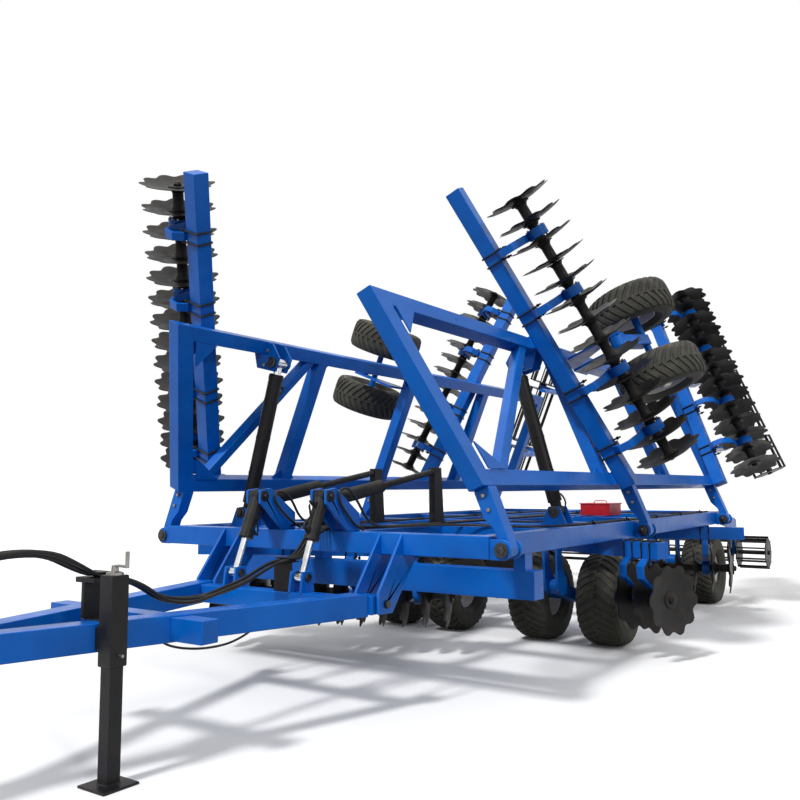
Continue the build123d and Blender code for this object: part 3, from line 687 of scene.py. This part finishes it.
def foldEnds(side):
    y = ramLook["foldYs"][side]
    foot = shifted(side * ramLook["footX"], y, ramLook["footZ"])
    x, z = layout["hingeX"] + ramLook["headS"], layout["hingeZ"] + ramLook["headUp"]
    head = lifted(side) @ Vector((side * x, y, z))
    return foot, head + Vector((0, layout["foreShift"], 0))


def addPorts(shape, place, radius, spots, angle):
    # small square ports on the barrel with an elbow, and a pipe between the two
    turn = Matrix.Rotation(angle, 4, "Z")
    for height in spots:
        seat = place @ turn @ Matrix.Translation((radius, 0, height))
        addBlock(shape, portLook["low"], portLook["high"], seat)
        elbow = seat @ Matrix.Translation((portLook["elbowAt"], 0, 0)) @ Matrix.Rotation(math.pi / 2, 4, "Y")
        addTurned(shape, portLook["elbow"], elbow, 12)
    out = radius + portLook["out"]
    start, end = spots
    path = (
        (out, 0, start), (out + 0.004, 0, start + 0.03), (radius + 0.02, 0, start + 0.09),
        (radius + 0.016, 0, (start + end) / 2), (radius + 0.02, 0, end - 0.09),
        (out + 0.004, 0, end - 0.03), (out, 0, end),
    )
    addPipe(shape, [place @ turn @ Vector(p) for p in path], portLook["pipe"], 8)


def addPinEnds(shape, middle, axis, look):
    for end in (-1, 1):
        way = Vector(axis) * end
        addTurned(shape, look["washer"], aimed(middle + way * look["out"], way), look["sides"])
        if "nut" in look:
            addHex(shape, *look["nut"], aimed(middle + way * look["nutOut"], way))


for side in (1, -1):
    word = wordOf[side]
    foot, head = foldEnds(side)
    run = (head - foot).length
    place = aimed(foot, head - foot)
    trim = newShape()
    near, far = ramLook["ports"]
    addPorts(trim, place, ramLook["barrel"] - 0.003, (near, run - far), ramLook["portTurn"][side])
    near, far = ramLook["bands"]
    for height in (near, run * 0.5, run - far):
        band = [(height + end * ramLook["bandHalf"], ramLook["bandRadius"]) for end in (-1, 1)]
        addTurned(trim, band, place, ramLook["sides"])
    addTurned(trim, [(run + up, radius) for up, radius in ramLook["gland"]], place, ramLook["sides"])
    barrel = "fold_barrel_" + word
    finishPiece("foldRamFittings_" + word, trim, "blackSteel", barrel, smooth=True, bevel=0.0015)
    for name, middle, body in (("Foot", foot, "frame"), ("Head", head, "wing_" + word)):
        pins = newShape()
        addPinEnds(pins, middle, (0, 1, 0), pinLook["fold" + name])
        finishPiece("foldRam%sPins_%s" % (name, word), pins, "pinSteel", body, smooth=True, bevel=0.001)

trim, rodTrim = newShape(), newShape()
for side in (1, -1):
    headPlace = shifted(side * levelLook["x"], *levelLook["head"])
    footPlace = shifted(side * levelLook["x"], *levelLook["foot"])
    place = aimed(headPlace, footPlace - headPlace)
    addPorts(trim, place, levelLook["barrel"] - 0.002, levelLook["ports"], math.radians(90 * side))
    addTurned(trim, levelLook["gland"], place, levelLook["sides"])
    addPinEnds(trim, headPlace, (1, 0, 0), pinLook["levelHead"])
    addPinEnds(rodTrim, footPlace, (1, 0, 0), pinLook["levelFoot"])
finishPiece("levelRamFittings", trim, "blackSteel", "level_barrels", smooth=True, bevel=0.001)
finishPiece("levelRamFootPins", rodTrim, "pinSteel", "drawbar", smooth=True, bevel=0.001)
print("rams fitted")

# Hinge pins: a flat lock on the front end, a nut on the others
hingeLook = {
    "reach": 0.0995, "washer": ((-0.003, 0.05), (0.004, 0.05)), "lock": (0.05, 0.012), "nut": (0.07, 0.03),
    "nutUp": 0.004, "pinEnd": ((0.0, 0.021), (0.042, 0.021), (0.045, 0.017)),
}
nuts = newShape()
for side in (1, -1):
    for y in layout["hingeYs"]:
        for end in (-1, 1):
            spot = shifted(side * layout["hingeX"], y + end * hingeLook["reach"], layout["hingeZ"])
            place = aimed(spot, (0, end, 0))
            addTurned(nuts, hingeLook["washer"], place, 28)
            if end < 0 and y == layout["hingeYs"][0]:
                addHex(nuts, *hingeLook["lock"], place)
            else:
                addHex(nuts, *hingeLook["nut"], place @ Matrix.Translation((0, 0, hingeLook["nutUp"])))
                addTurned(nuts, hingeLook["pinEnd"], place, 16)
finishPiece("hingeNuts", nuts, "pinSteel", "frame", smooth=True, bevel=0.0012)

# Weld beads round the ends of the cross members
weldLook = {
    "bead": 0.0055, "steps": 4,
    "frameHeights": (1.06, 1.19), "frameHalf": 0.06, "outerXs": (0.412, 1.438), "innerX": 0.288,
    "wingHeights": (1.059, 1.169), "wingHalf": 0.065, "wingReach": (0.552, 1.738),
}
# frame members by Y with the sides they reach, wing members by side with their Ys
frameCross = {0.45: (-1,), 1.25: (1, -1), 1.9: (1,), 2.45: (1, -1), 3.7: (1, -1), 5.0: (1, -1)}
wingCross = {1: (2.25, 4.1), -1: (1.2, 2.83, 4.5)}


def addBead(shape, x, y, half, heights, level=flat):
    low, high = heights
    corners = [(x, y - half, low), (x, y + half, low), (x, y + half, high), (x, y - half, high)]
    path = []
    steps = weldLook["steps"]
    for a, b in zip(corners, corners[1:] + corners[:1]):
        for k in range(steps):
            path.append(level @ Vector([a[i] + (b[i] - a[i]) * k / steps for i in range(3)]))
    addPipe(shape, path, weldLook["bead"], 6, loop=True)


beads = newShape()
for y, sides in frameCross.items():
    xs = [side * x for side in sides for x in weldLook["outerXs"]]
    if len(sides) == 2:
        xs += [-weldLook["innerX"], weldLook["innerX"]]
    for x in xs:
        addBead(beads, x, along(y), weldLook["frameHalf"], weldLook["frameHeights"])
finishPiece("frameWelds", beads, "bluePaint", "frame", smooth=True)
for side in (1, -1):
    beads = newShape()
    level = Matrix.Translation((0, layout["foreShift"], 0)) @ lifted(side)
    for y in wingCross[side]:
        for s in weldLook["wingReach"]:
            x = side * (layout["hingeX"] + s)
            addBead(beads, x, y, weldLook["wingHalf"], weldLook["wingHeights"], level)
    finishPiece("wingWelds_" + wordOf[side], beads, "bluePaint", "wing_" + wordOf[side], smooth=True)
print("welds laid")

# Hoses: smooth curves, clipped where they cross something; their points give Y before the fore shift
hoseLook = {
    "radius": 0.011, "rails": 0.0099, "small": 0.008, "loop": 0.007,
    "rackXs": (0.03, 0.062, 0.094, 0.126), "firstX": 0.13, "apart": 0.032, "sway": 0.02,
    "railX": 0.315, "railApart": 0.024, "railZ": 1.212,
    "lineGap": 0.13, "lineApart": 0.03,
}


def addHose(name, points, radius, body, blend=None):
    data = bpy.data.curves.new(name, "CURVE")
    data.dimensions = "3D"
    data.resolution_u = 5
    data.bevel_depth = radius
    data.bevel_resolution = 3
    data.use_fill_caps = True
    line = data.splines.new("NURBS")
    line.points.add(len(points) - 1)
    for point, place in zip(line.points, points):
        point.co = (place[0], along(place[1]), place[2], 1.0)
    line.order_u = 3
    line.use_endpoint_u = True
    data.materials.append(finishes["hoseRubber"])
    piece = bpy.data.objects.new(name, data)
    bpy.context.scene.collection.objects.link(piece)
    if blend:
        mesh = bpy.data.meshes.new_from_object(piece)
        mesh.name = name
        bpy.data.objects.remove(piece)
        piece = bpy.data.objects.new(name, mesh)
        bpy.context.scene.collection.objects.link(piece)
        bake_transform(piece)
    else:
        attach(piece, body)
    return piece


# four along the drawbar from the rack at its tip, over its hinge, and on along the frame
for i, x in enumerate(hoseLook["rackXs"]):
    far = hoseLook["firstX"] + hoseLook["apart"] * i
    lift = hoseLook["sway"] * (i % 2)
    addHose("drawbarHose%d" % (i + 1), [
        (x, -2.86, 0.955), (x, -2.855, 1.03), (x + 0.01, -2.78, 1.12 + lift), (x + 0.03, -2.6, 1.185 + lift),
        (far - 0.02, -2.35, 1.18 + lift), (far, -2.2, 1.1 + lift), (far, -2.09, 1.055), (far, -2.01, 1.052),
        (far, -1.78, 0.98), (far, -1.62, 0.88 - lift), (far + 0.01, -1.4, 0.845 - lift),
        (far - 0.01, -1.15, 0.85 + lift), (far, -0.92, 0.9 + lift), (far, -0.7, 0.985 + lift),
        (far, -0.56, 1.02), (far, -0.5, 1.02),
    ], hoseLook["radius"], "drawbar")
    addHose("hingeHose%d" % (i + 1), [
        (far, -0.5, 1.02), (far, -0.43, 1.025), (far + 0.004, -0.36, 1.06), (far + 0.006, -0.3, 1.13),
        (far + 0.004, -0.23, 1.19), (far, -0.14, 1.222), (far, -0.05, 1.224), (far, 0.03, 1.219),
    ], hoseLook["radius"], "drawbar", ("drawbar", "frame", (far, -0.44, 1.02), (far, -0.12, 1.2)))
    rail, top = hoseLook["railX"] + hoseLook["railApart"] * i, hoseLook["railZ"]
    addHose("frameHose%d" % (i + 1), [
        (far, 0.02, 1.219), (far, 0.08, 1.214), (far + 0.02, 0.3, 1.205), (rail - 0.005, 0.62, top + 0.0005),
    ] + [(rail, y, top) for y in (0.95, 1.5, 2.3, 3.2, 3.5)], hoseLook["rails"], "frame")

# clips, rack and brackets: plates by two corners each
clipLook = {
    "drawbarPlates": (
        ((-0.01, -2.9, 0.812), (0.16, -2.89, 0.96)), ((-0.01, -2.9, 0.86), (0.16, -2.83, 0.868)),
        ((0.11, -2.1, 0.813), (0.33, -2.0, 0.821)), ((0.1, -2.09, 1.066), (0.25, -2.01, 1.071)),
        ((0.1, -0.56, 0.8), (0.26, -0.545, 1.012)), ((0.1, -0.56, 1.004), (0.26, -0.47, 1.01)),
        ((0.1, -0.55, 1.031), (0.26, -0.49, 1.036)),
    ),
    "framePlates": (
        ((0.1, -0.09, 1.2), (0.26, -0.01, 1.207)), ((0.1, -0.07, 1.233), (0.26, -0.03, 1.238)),
    ),
    "railYs": (1.25, 2.45, 3.48), "railXs": (0.296, 0.405), "railZs": (1.198, 1.226), "railHalf": 0.02,
    "couplingAt": (-2.86, 0.868),
    "coupling": ((-0.03, 0.01), (-0.03, 0.016), (0.0, 0.017), (0.03, 0.017), (0.034, 0.0145), (0.075, 0.0145),
                 (0.08, 0.0125), (0.1, 0.0125)),
    "bands": ((1.49, (1.9, 2.75, 3.6, 4.45, 5.3)), (-0.345, (2.0, 3.1, 4.2)), (0.35, (4.3,))),    # X and Ys
    "bandHalf": (0.035, 0.02), "bandZs": (1.199, 1.2225), "bandBolt": 0.014,
}


def addPlates(shape, rows):
    for (x0, y0, z0), (x1, y1, z1) in rows:
        addBlock(shape, (x0, along(y0), z0), (x1, along(y1), z1))


clips = newShape()
addPlates(clips, clipLook["drawbarPlates"])
for x in hoseLook["rackXs"]:
    addTurned(clips, clipLook["coupling"], Matrix.Translation(shifted(x, *clipLook["couplingAt"])), 16)
finishPiece("drawbarHoseClips", clips, "blackSteel", "drawbar", bevel=0.001)
clips = newShape()
addPlates(clips, clipLook["framePlates"])
(x0, x1), (z0, z1), half = clipLook["railXs"], clipLook["railZs"], clipLook["railHalf"]
addPlates(clips, [((x0, y - half, z0), (x1, y + half, z1)) for y in clipLook["railYs"]])
finishPiece("frameHoseClips", clips, "blackSteel", "frame", bevel=0.001)

# lines out to the fold rams, on the frame and across to the barrels
for side in (1, -1):
    word, y = wordOf[side], ramLook["foldYs"][side]
    for i in range(2 if side > 0 else 1):
        base = y + hoseLook["lineGap"] + hoseLook["lineApart"] * i
        addHose("ramLine%s%d" % (word.capitalize(), i + 1), [
            (side * (0.36 + 0.02 * i), base, 1.213), (side * 0.5, base, 1.21),
            (side * 0.62, base - 0.01 * i, 1.204), (side * 0.8, base, 1.2),
            (side * 0.95, base + 0.005, 1.205), (side * 1.02, base, 1.215),
        ], hoseLook["small"], "frame")
    foot, head = foldEnds(side)
    unit = (head - foot).normalized()
    port = foot + unit * ramLook["ports"][0] + Vector((0, 0.11, 0))
    spot = (port.x, port.y - layout["foreShift"], port.z)
    start = (side * 1.02, y + hoseLook["lineGap"], 1.215)
    addHose("ramHose" + word.capitalize(), [
        start, (side * 1.08, y + 0.14, 1.22), (side * 1.14, y + 0.17, 1.25), (side * 1.16, y + 0.19, 1.33),
        (side * 1.17, y + 0.18, 1.4), (spot[0], spot[1] + 0.045, spot[2] + 0.015),
        (spot[0], spot[1] + 0.02, spot[2]), spot,
    ], hoseLook["small"], "frame", ("frame", "fold_barrel_" + word, start, spot))

# loops round the towers, and lines over the frame to the rear
hoseRuns = {                   # radius and points
    "towerHoseA": (0.01, (
        (0.2, 0.06, 1.214), (0.2, -0.02, 1.24), (0.21, -0.08, 1.3), (0.225, -0.16, 1.37), (0.24, -0.2, 1.46),
        (0.235, -0.1, 1.5), (0.225, 0.0, 1.42), (0.22, 0.08, 1.28), (0.24, 0.2, 1.214), (0.29, 0.4, 1.212),
    )),
    "towerHoseB": (0.01, (
        (0.43, 0.05, 1.212), (0.42, -0.04, 1.24), (0.415, -0.12, 1.32), (0.41, -0.2, 1.4), (0.405, -0.22, 1.5),
        (0.405, -0.1, 1.53), (0.41, 0.02, 1.4), (0.42, 0.12, 1.26), (0.43, 0.3, 1.213), (0.44, 0.7, 1.212),
    )),
    "towerHoseC": (0.01, (
        (-0.2, 0.06, 1.214), (-0.2, -0.04, 1.26), (-0.215, -0.14, 1.34), (-0.235, -0.22, 1.45),
        (-0.235, -0.14, 1.51), (-0.225, -0.02, 1.44), (-0.22, 0.08, 1.27), (-0.23, 0.3, 1.213),
        (-0.25, 0.7, 1.212),
    )),
    "towerHoseD": (0.01, (
        (-0.43, 0.04, 1.212), (-0.42, -0.06, 1.26), (-0.41, -0.18, 1.36), (-0.405, -0.24, 1.48),
        (-0.405, -0.12, 1.53), (-0.41, 0.0, 1.42), (-0.42, 0.1, 1.25), (-0.43, 0.35, 1.212),
        (-0.44, 0.9, 1.212),
    )),
    "towerHoseE": (0.009, (
        (0.14, 0.02, 1.213), (0.02, -0.01, 1.235), (-0.1, -0.02, 1.25), (-0.18, 0.0, 1.24), (-0.3, 0.02, 1.22),
        (-0.4, 0.03, 1.213),
    )),
    "railHoseA": (0.009, (
        (0.44, 0.65, 1.211), (0.445, 0.9, 1.21), (0.7, 1.15, 1.205), (1.0, 1.2, 1.2), (1.25, 1.24, 1.2),
        (1.45, 1.35, 1.209), (1.47, 1.8, 1.21), (1.475, 2.6, 1.21), (1.48, 3.6, 1.21), (1.48, 4.8, 1.21),
        (1.47, 5.4, 1.21),
    )),
    "railHoseB": (0.009, (
        (0.42, 0.6, 1.211), (0.42, 1.0, 1.21), (0.68, 1.25, 1.203), (1.0, 1.26, 1.2), (1.3, 1.28, 1.2),
        (1.48, 1.45, 1.21), (1.5, 1.9, 1.21), (1.505, 3.0, 1.21), (1.505, 4.4, 1.21), (1.5, 5.6, 1.21),
    )),
    "railHoseC": (0.009, (
        (-0.25, 0.66, 1.211), (-0.3, 1.0, 1.21), (-0.33, 2.0, 1.21), (-0.33, 3.2, 1.21), (-0.33, 4.4, 1.21),
        (-0.32, 5.2, 1.21),
    )),
    "railHoseD": (0.009, (
        (-0.44, 0.85, 1.211), (-0.42, 1.3, 1.21), (-0.36, 1.8, 1.21), (-0.36, 3.2, 1.21), (-0.36, 4.4, 1.21),
        (-0.35, 5.0, 1.21),
    )),
    "rearHose": (0.009, (
        (0.34, 3.45, 1.212), (0.34, 3.9, 1.21), (0.36, 4.6, 1.21), (0.4, 4.95, 1.206), (0.7, 5.0, 1.2),
        (1.1, 5.0, 1.2), (1.4, 5.02, 1.207), (1.46, 5.2, 1.21), (1.46, 5.5, 1.21),
    )),
}
for name, (radius, points) in hoseRuns.items():
    addHose(name, points, radius, "frame")

# bands with a bolt over the rail lines, and the valve block between the towers
blockLook = {
    "low": (-0.09, 0.02, 1.2), "high": (0.09, 0.13, 1.29), "xs": (-0.06, -0.02, 0.02, 0.06),
    "front": (0.02, 1.255), "frontFitting": ((0.0, 0.014), (0.03, 0.014), (0.032, 0.011), (0.05, 0.011)),
    "top": (0.075, 1.29), "topFitting": ((0.0, 0.014), (0.02, 0.014), (0.022, 0.01), (0.03, 0.01)),
}
clips = newShape()
(wide, deep), (low, top) = clipLook["bandHalf"], clipLook["bandZs"]
for x, ys in clipLook["bands"]:
    for y in ys:
        addPlates(clips, [((x - wide, y - deep, low), (x + wide, y + deep, top))])
        addBolt(clips, shifted(x, y, top), (0, 0, 1), clipLook["bandBolt"])
addPlates(clips, [(blockLook["low"], blockLook["high"])])
for x in blockLook["xs"]:
    addTurned(clips, blockLook["frontFitting"], aimed(shifted(x, *blockLook["front"]), (0, -1, 0)), 12)
    addTurned(clips, blockLook["topFitting"], aimed(shifted(x, *blockLook["top"]), (0, 0, 1)), 12)
finishPiece("frameHoseFittings", clips, "blackSteel", "frame", bevel=0.001)
# a slack loop under the drawbar, held at both ends
addHose("drawbarLoop", [
    (0.3, -1.72, 0.668), (0.31, -1.7, 0.64), (0.33, -1.6, 0.6), (0.36, -1.45, 0.575), (0.4, -1.3, 0.58),
    (0.43, -1.2, 0.61), (0.45, -1.12, 0.65), (0.455, -1.08, 0.668),
], hoseLook["loop"], "drawbar")
print("hoses laid")

# Jack: cap, crank and cross pin
jackLook = {
    "x": 0.42, "y": -2.12, "top": 1.07, "cap": ((0.0, 0.045), (0.012, 0.045), (0.02, 0.02), (0.05, 0.018)),
    "arm": ((0, 0, 0.045), (0.05, -0.01, 0.05), (0.12, -0.03, 0.052), (0.15, -0.038, 0.052)), "armRadius": 0.008,
    "grip": ((0.148, -0.037, 0.045), (0.148, -0.037, 0.075), (0.148, -0.037, 0.13)), "gripRadius": 0.011,
    "pinZ": 0.66, "pinReach": (-0.075, 0.085), "pinRadius": 0.009,
}
crank = newShape()
spot = shifted(jackLook["x"], jackLook["y"], jackLook["top"])
addTurned(crank, jackLook["cap"], Matrix.Translation(spot), 20)
addPipe(crank, [spot + Vector(v) for v in jackLook["arm"]], jackLook["armRadius"], 8)
addPipe(crank, [spot + Vector(v) for v in jackLook["grip"]], jackLook["gripRadius"], 10)
pin = [shifted(jackLook["x"] + x, jackLook["y"], jackLook["pinZ"]) for x in jackLook["pinReach"]]
addPipe(crank, pin, jackLook["pinRadius"], 10)
finishPiece("jackCrank", crank, "boltZinc", "drawbar", smooth=True)

# Drawbar tip: ribs and a bolted flange behind the towing eye, and its wear ring
tipLook = {
    "ribXs": (-0.045, 0.045), "ribHalf": 0.008, "ribYs": (-3.26, -3.1595), "ribZs": (0.69, 0.79),
    "flange": ((-0.1, -3.175, 0.668), (0.1, -3.16, 0.812)),
    "boltXs": (-0.08, 0.08), "boltZs": (0.69, 0.79), "bolt": 0.024,
    "ring": ((0.0, 0.082), (0.006, 0.079)), "ringAt": (0, -3.45, 0.77),
}
tip = newShape()
(ribFront, ribBack), (ribLow, ribHigh) = tipLook["ribYs"], tipLook["ribZs"]
for x in tipLook["ribXs"]:
    half = tipLook["ribHalf"]
    addPlates(tip, [((x - half, ribFront, ribLow), (x + half, ribBack, ribHigh))])
addPlates(tip, [tipLook["flange"]])
for x in tipLook["boltXs"]:
    for z in tipLook["boltZs"]:
        addBolt(tip, shifted(x, tipLook["flange"][0][1], z), (0, -1, 0), tipLook["bolt"])
addTurned(tip, tipLook["ring"], Matrix.Translation(shifted(*tipLook["ringAt"])), 40)
finishPiece("drawbarTip", tip, "bluePaint", "drawbar", bevel=0.002)

# Oil box: lid and handle
lidLook = {
    "plate": ((0.553, 3.893, 1.322), (0.907, 4.267, 1.334)), "handleY": 4.07, "handleRadius": 0.005,
    "handle": ((0.66, 1.333), (0.66, 1.352), (0.68, 1.36), (0.785, 1.36), (0.805, 1.352), (0.805, 1.333)),
}
lid = newShape()
addPlates(lid, [lidLook["plate"]])
handle = [shifted(x, lidLook["handleY"], z) for x, z in lidLook["handle"]]
addPipe(lid, handle, lidLook["handleRadius"], 8)
finishPiece("oilBoxLid", lid, "redPaint", "frame", smooth=True, bevel=0.002)

# Wings: gussets in their corners and beside the cross members, bolts on brackets and hinge arms
gussetLook = {
    "thick": 0.012, "faces": (1.174, 1.054), "foreShare": 0.06,
    "corners": ((0.55, -0.03, 0.23, 1), (1.74, -0.47, -0.24, -1)),    # reach, front Y, back Y, way inwards
    "reach": 0.2, "fall": 0.07,
    "crossZs": (1.105, 1.117), "crossHalf": 0.065, "crossReach": 0.09, "crossBack": 0.155,
}
wingBoltLook = {
    "bracket": ((1.79, 0.02), (1.79, -0.11), (1.66, -0.12)), "bracketOut": 0.084, "bracketBolt": (0.028, 0.016),
    "arm": (0.28, 0.38), "armOut": 0.055, "armBolt": (0.026, 0.014),
}
for side in (1, -1):
    level = Matrix.Translation((0, layout["foreShift"], 0)) @ lifted(side)
    base, look = side * layout["hingeX"], gussetLook
    gussets, bolts = newShape(), newShape()
    for s, y, back, turn in look["corners"]:
        a, b = base + side * s, base + side * (s + turn * look["reach"])
        corner = [(a, y), (b, y - turn * look["fall"]), (a, back)]
        top, under = look["faces"]
        for low, high in ((top, top + look["thick"]), (under - look["thick"], under)):
            rings = [[(px, py + look["foreShare"], z) for px, py in corner] for z in (low, high)]
            addRings(gussets, rings, level)
    for y in wingCross[side]:
        for s, frontY, backY, turn in look["corners"]:
            a, b = base + side * s, base + side * (s + turn * look["crossReach"])
            for way in (-1, 1):
                near, far = y + way * look["crossHalf"], y + way * look["crossBack"]
                corner = [(a, near), (b, near), (a, far)]
                addRings(gussets, [[(px, py, z) for px, py in corner] for z in look["crossZs"]], level)
    finishPiece("wingGussets_" + wordOf[side], gussets, "bluePaint", "wing_" + wordOf[side], bevel=0.002)
    look = wingBoltLook
    y = ramLook["foldYs"][side]
    for end in (-1, 1):
        for s, n in look["bracket"]:
            spot = Vector((base + side * s, y + end * look["bracketOut"], layout["hingeZ"] - n))
            addHex(bolts, *look["bracketBolt"], level @ aimed(spot, (0, end, 0)))
    for hingeY in layout["hingeYs"]:
        for s in look["arm"]:
            for end in (-1, 1):
                spot = Vector((base + side * s, hingeY + end * look["armOut"], layout["hingeZ"]))
                addHex(bolts, *look["armBolt"], level @ aimed(spot, (0, end, 0)))
    finishPiece("wingBolts_" + wordOf[side], bolts, "boltZinc", "wing_" + wordOf[side])

# Frame: bolts and side plates on the fold rams' feet, bearers under the oil box
seatLook = {
    "boltXs": (0.08, -0.08), "boltZs": (1.09, 1.15), "bolt": (0.026, 0.014),
    "near": 0.0595, "far": 0.0835, "half": 0.13, "heights": (1.07, 1.2),
    "bearerXs": (0.62, 0.84), "bearerHalf": 0.025, "bearerYs": (3.64, 4.28), "bearerZs": (1.189, 1.201),
}
look = seatLook
bolts, seats = newShape(), newShape()
for side in (1, -1):
    x, y = side * ramLook["footX"], ramLook["foldYs"][side]
    for z in look["boltZs"]:
        for px in look["boltXs"]:
            spot = shifted(x + px, y - wingBoltLook["bracketOut"], z)
            addHex(bolts, *look["bolt"], aimed(spot, (0, -1, 0)))
    for end in (-1, 1):
        a, b = sorted((y + end * look["near"], y + end * look["far"]))
        low, high = look["heights"]
        addPlates(seats, [((x - look["half"], a, low), (x + look["half"], b, high))])
(front, back), (low, high) = look["bearerYs"], look["bearerZs"]
for x in look["bearerXs"]:
    addPlates(seats, [((x - look["bearerHalf"], front, low), (x + look["bearerHalf"], back, high))])
finishPiece("frameBolts", bolts, "boltZinc", "frame")
finishPiece("frameSeats", seats, "bluePaint", "frame", bevel=0.002)
print("trim fitted")

# Bearings on the rollers' arms
rollerLook = {
    "y": 7.16, "z": 0.62, "out": 0.02, "sides": 24,
    "housing": ((0.0, 0.0295), (0.0, 0.062), (0.012, 0.062), (0.018, 0.046), (0.026, 0.044), (0.026, 0.0295)),
    "boltCircle": 0.052, "bolt": (0.016, 0.022),
}
rollerSeats = (("frame", (-1.45, 1.45), 0), ("wing_left", (2.6, 3.6), 1), ("wing_right", (-2.6, -3.6), -1))
for body, xs, side in rollerSeats:
    housing = newShape()
    level = Matrix.Translation((0, layout["foreShift"], 0)) @ (lifted(side) if side else flat)
    for x in xs:
        for end in (-1, 1):
            spot = (x + end * rollerLook["out"], rollerLook["y"], rollerLook["z"])
            place = level @ aimed(spot, (end, 0, 0))
            addTurned(housing, rollerLook["housing"], place, rollerLook["sides"], loop=True)
            for k in range(4):
                angle = math.pi * (k + 0.5) / 2
                ring = rollerLook["boltCircle"]
                seat = place @ Matrix.Translation((ring * math.cos(angle), ring * math.sin(angle), 0))
                addHex(housing, *rollerLook["bolt"], seat)
    finishPiece("rollerBearings_" + body, housing, "blackSteel", body, smooth=True)
print("rollers fitted")

# Stage: a pale floor that looks white and throws back little light, plain light from above
stageLook = {
    "floorSize": 60.0,
    "floorSeen": (0.9, 0.9, 0.9, 1.0),
    "floorBounce": (0.16, 0.16, 0.16, 1.0),
    "skyStrength": 0.72,
    "keyEnergy": 2.3,
    "keyAngle": (math.radians(38), math.radians(12), math.radians(-20)),
    "fillEnergy": 0.6,
    "fillAngle": (math.radians(62), 0.0, math.radians(70)),
    "sunSize": math.radians(8),
}


def seenDirectly(tree):
    paths = tree.nodes.new("ShaderNodeLightPath")
    total = paths.outputs["Is Camera Ray"]
    for name in ("Is Glossy Ray", "Is Transmission Ray"):
        node = tree.nodes.new("ShaderNodeMath")
        node.operation = "MAXIMUM"
        tree.links.new(total, node.inputs[0])
        tree.links.new(paths.outputs[name], node.inputs[1])
        total = node.outputs[0]
    return total


def floorMaterial(look):
    mat = bpy.data.materials.new("floorPale")
    mat.use_nodes = True
    tree = mat.node_tree
    tree.nodes.clear()
    out = tree.nodes.new("ShaderNodeOutputMaterial")
    body = tree.nodes.new("ShaderNodeBsdfDiffuse")
    colour = addMix(tree, seenDirectly(tree), look["floorBounce"], look["floorSeen"])
    tree.links.new(colour, body.inputs["Color"])
    tree.links.new(body.outputs[0], out.inputs[0])
    return mat


def makeStage(look):
    size = look["floorSize"]
    mesh = bpy.data.meshes.new("floor")
    corners = [(-size, -size, 0), (size, -size, 0), (size, size, 0), (-size, size, 0)]
    mesh.from_pydata(corners, [], [(0, 1, 2, 3)])
    floor = bpy.data.objects.new("floor", mesh)
    floor.data.materials.append(floorMaterial(look))
    bpy.context.scene.collection.objects.link(floor)
    world = bpy.data.worlds.new("paleSky")
    world.use_nodes = True
    tree = world.node_tree
    tree.nodes.clear()
    out = tree.nodes.new("ShaderNodeOutputWorld")
    sky = tree.nodes.new("ShaderNodeBackground")
    sky.inputs["Strength"].default_value = look["skyStrength"]
    white = tree.nodes.new("ShaderNodeBackground")
    white.inputs["Color"].default_value = (1.0, 1.0, 1.0, 1.0)
    white.inputs["Strength"].default_value = 1.0
    mix = tree.nodes.new("ShaderNodeMixShader")
    tree.links.new(seenDirectly(tree), mix.inputs[0])
    tree.links.new(sky.outputs[0], mix.inputs[1])
    tree.links.new(white.outputs[0], mix.inputs[2])
    tree.links.new(mix.outputs[0], out.inputs[0])
    sky.inputs["Color"].default_value = (1.0, 1.0, 1.0, 1.0)
    bpy.context.scene.world = world
    for name in ("key", "fill"):
        data = bpy.data.lights.new(name, "SUN")
        data.energy = look[name + "Energy"]
        data.angle = look["sunSize"]
        lamp = bpy.data.objects.new(name, data)
        lamp.rotation_euler = look[name + "Angle"]
        bpy.context.scene.collection.objects.link(lamp)
    bpy.context.scene.view_settings.view_transform = "Standard"


makeStage(stageLook)
print("stage made")
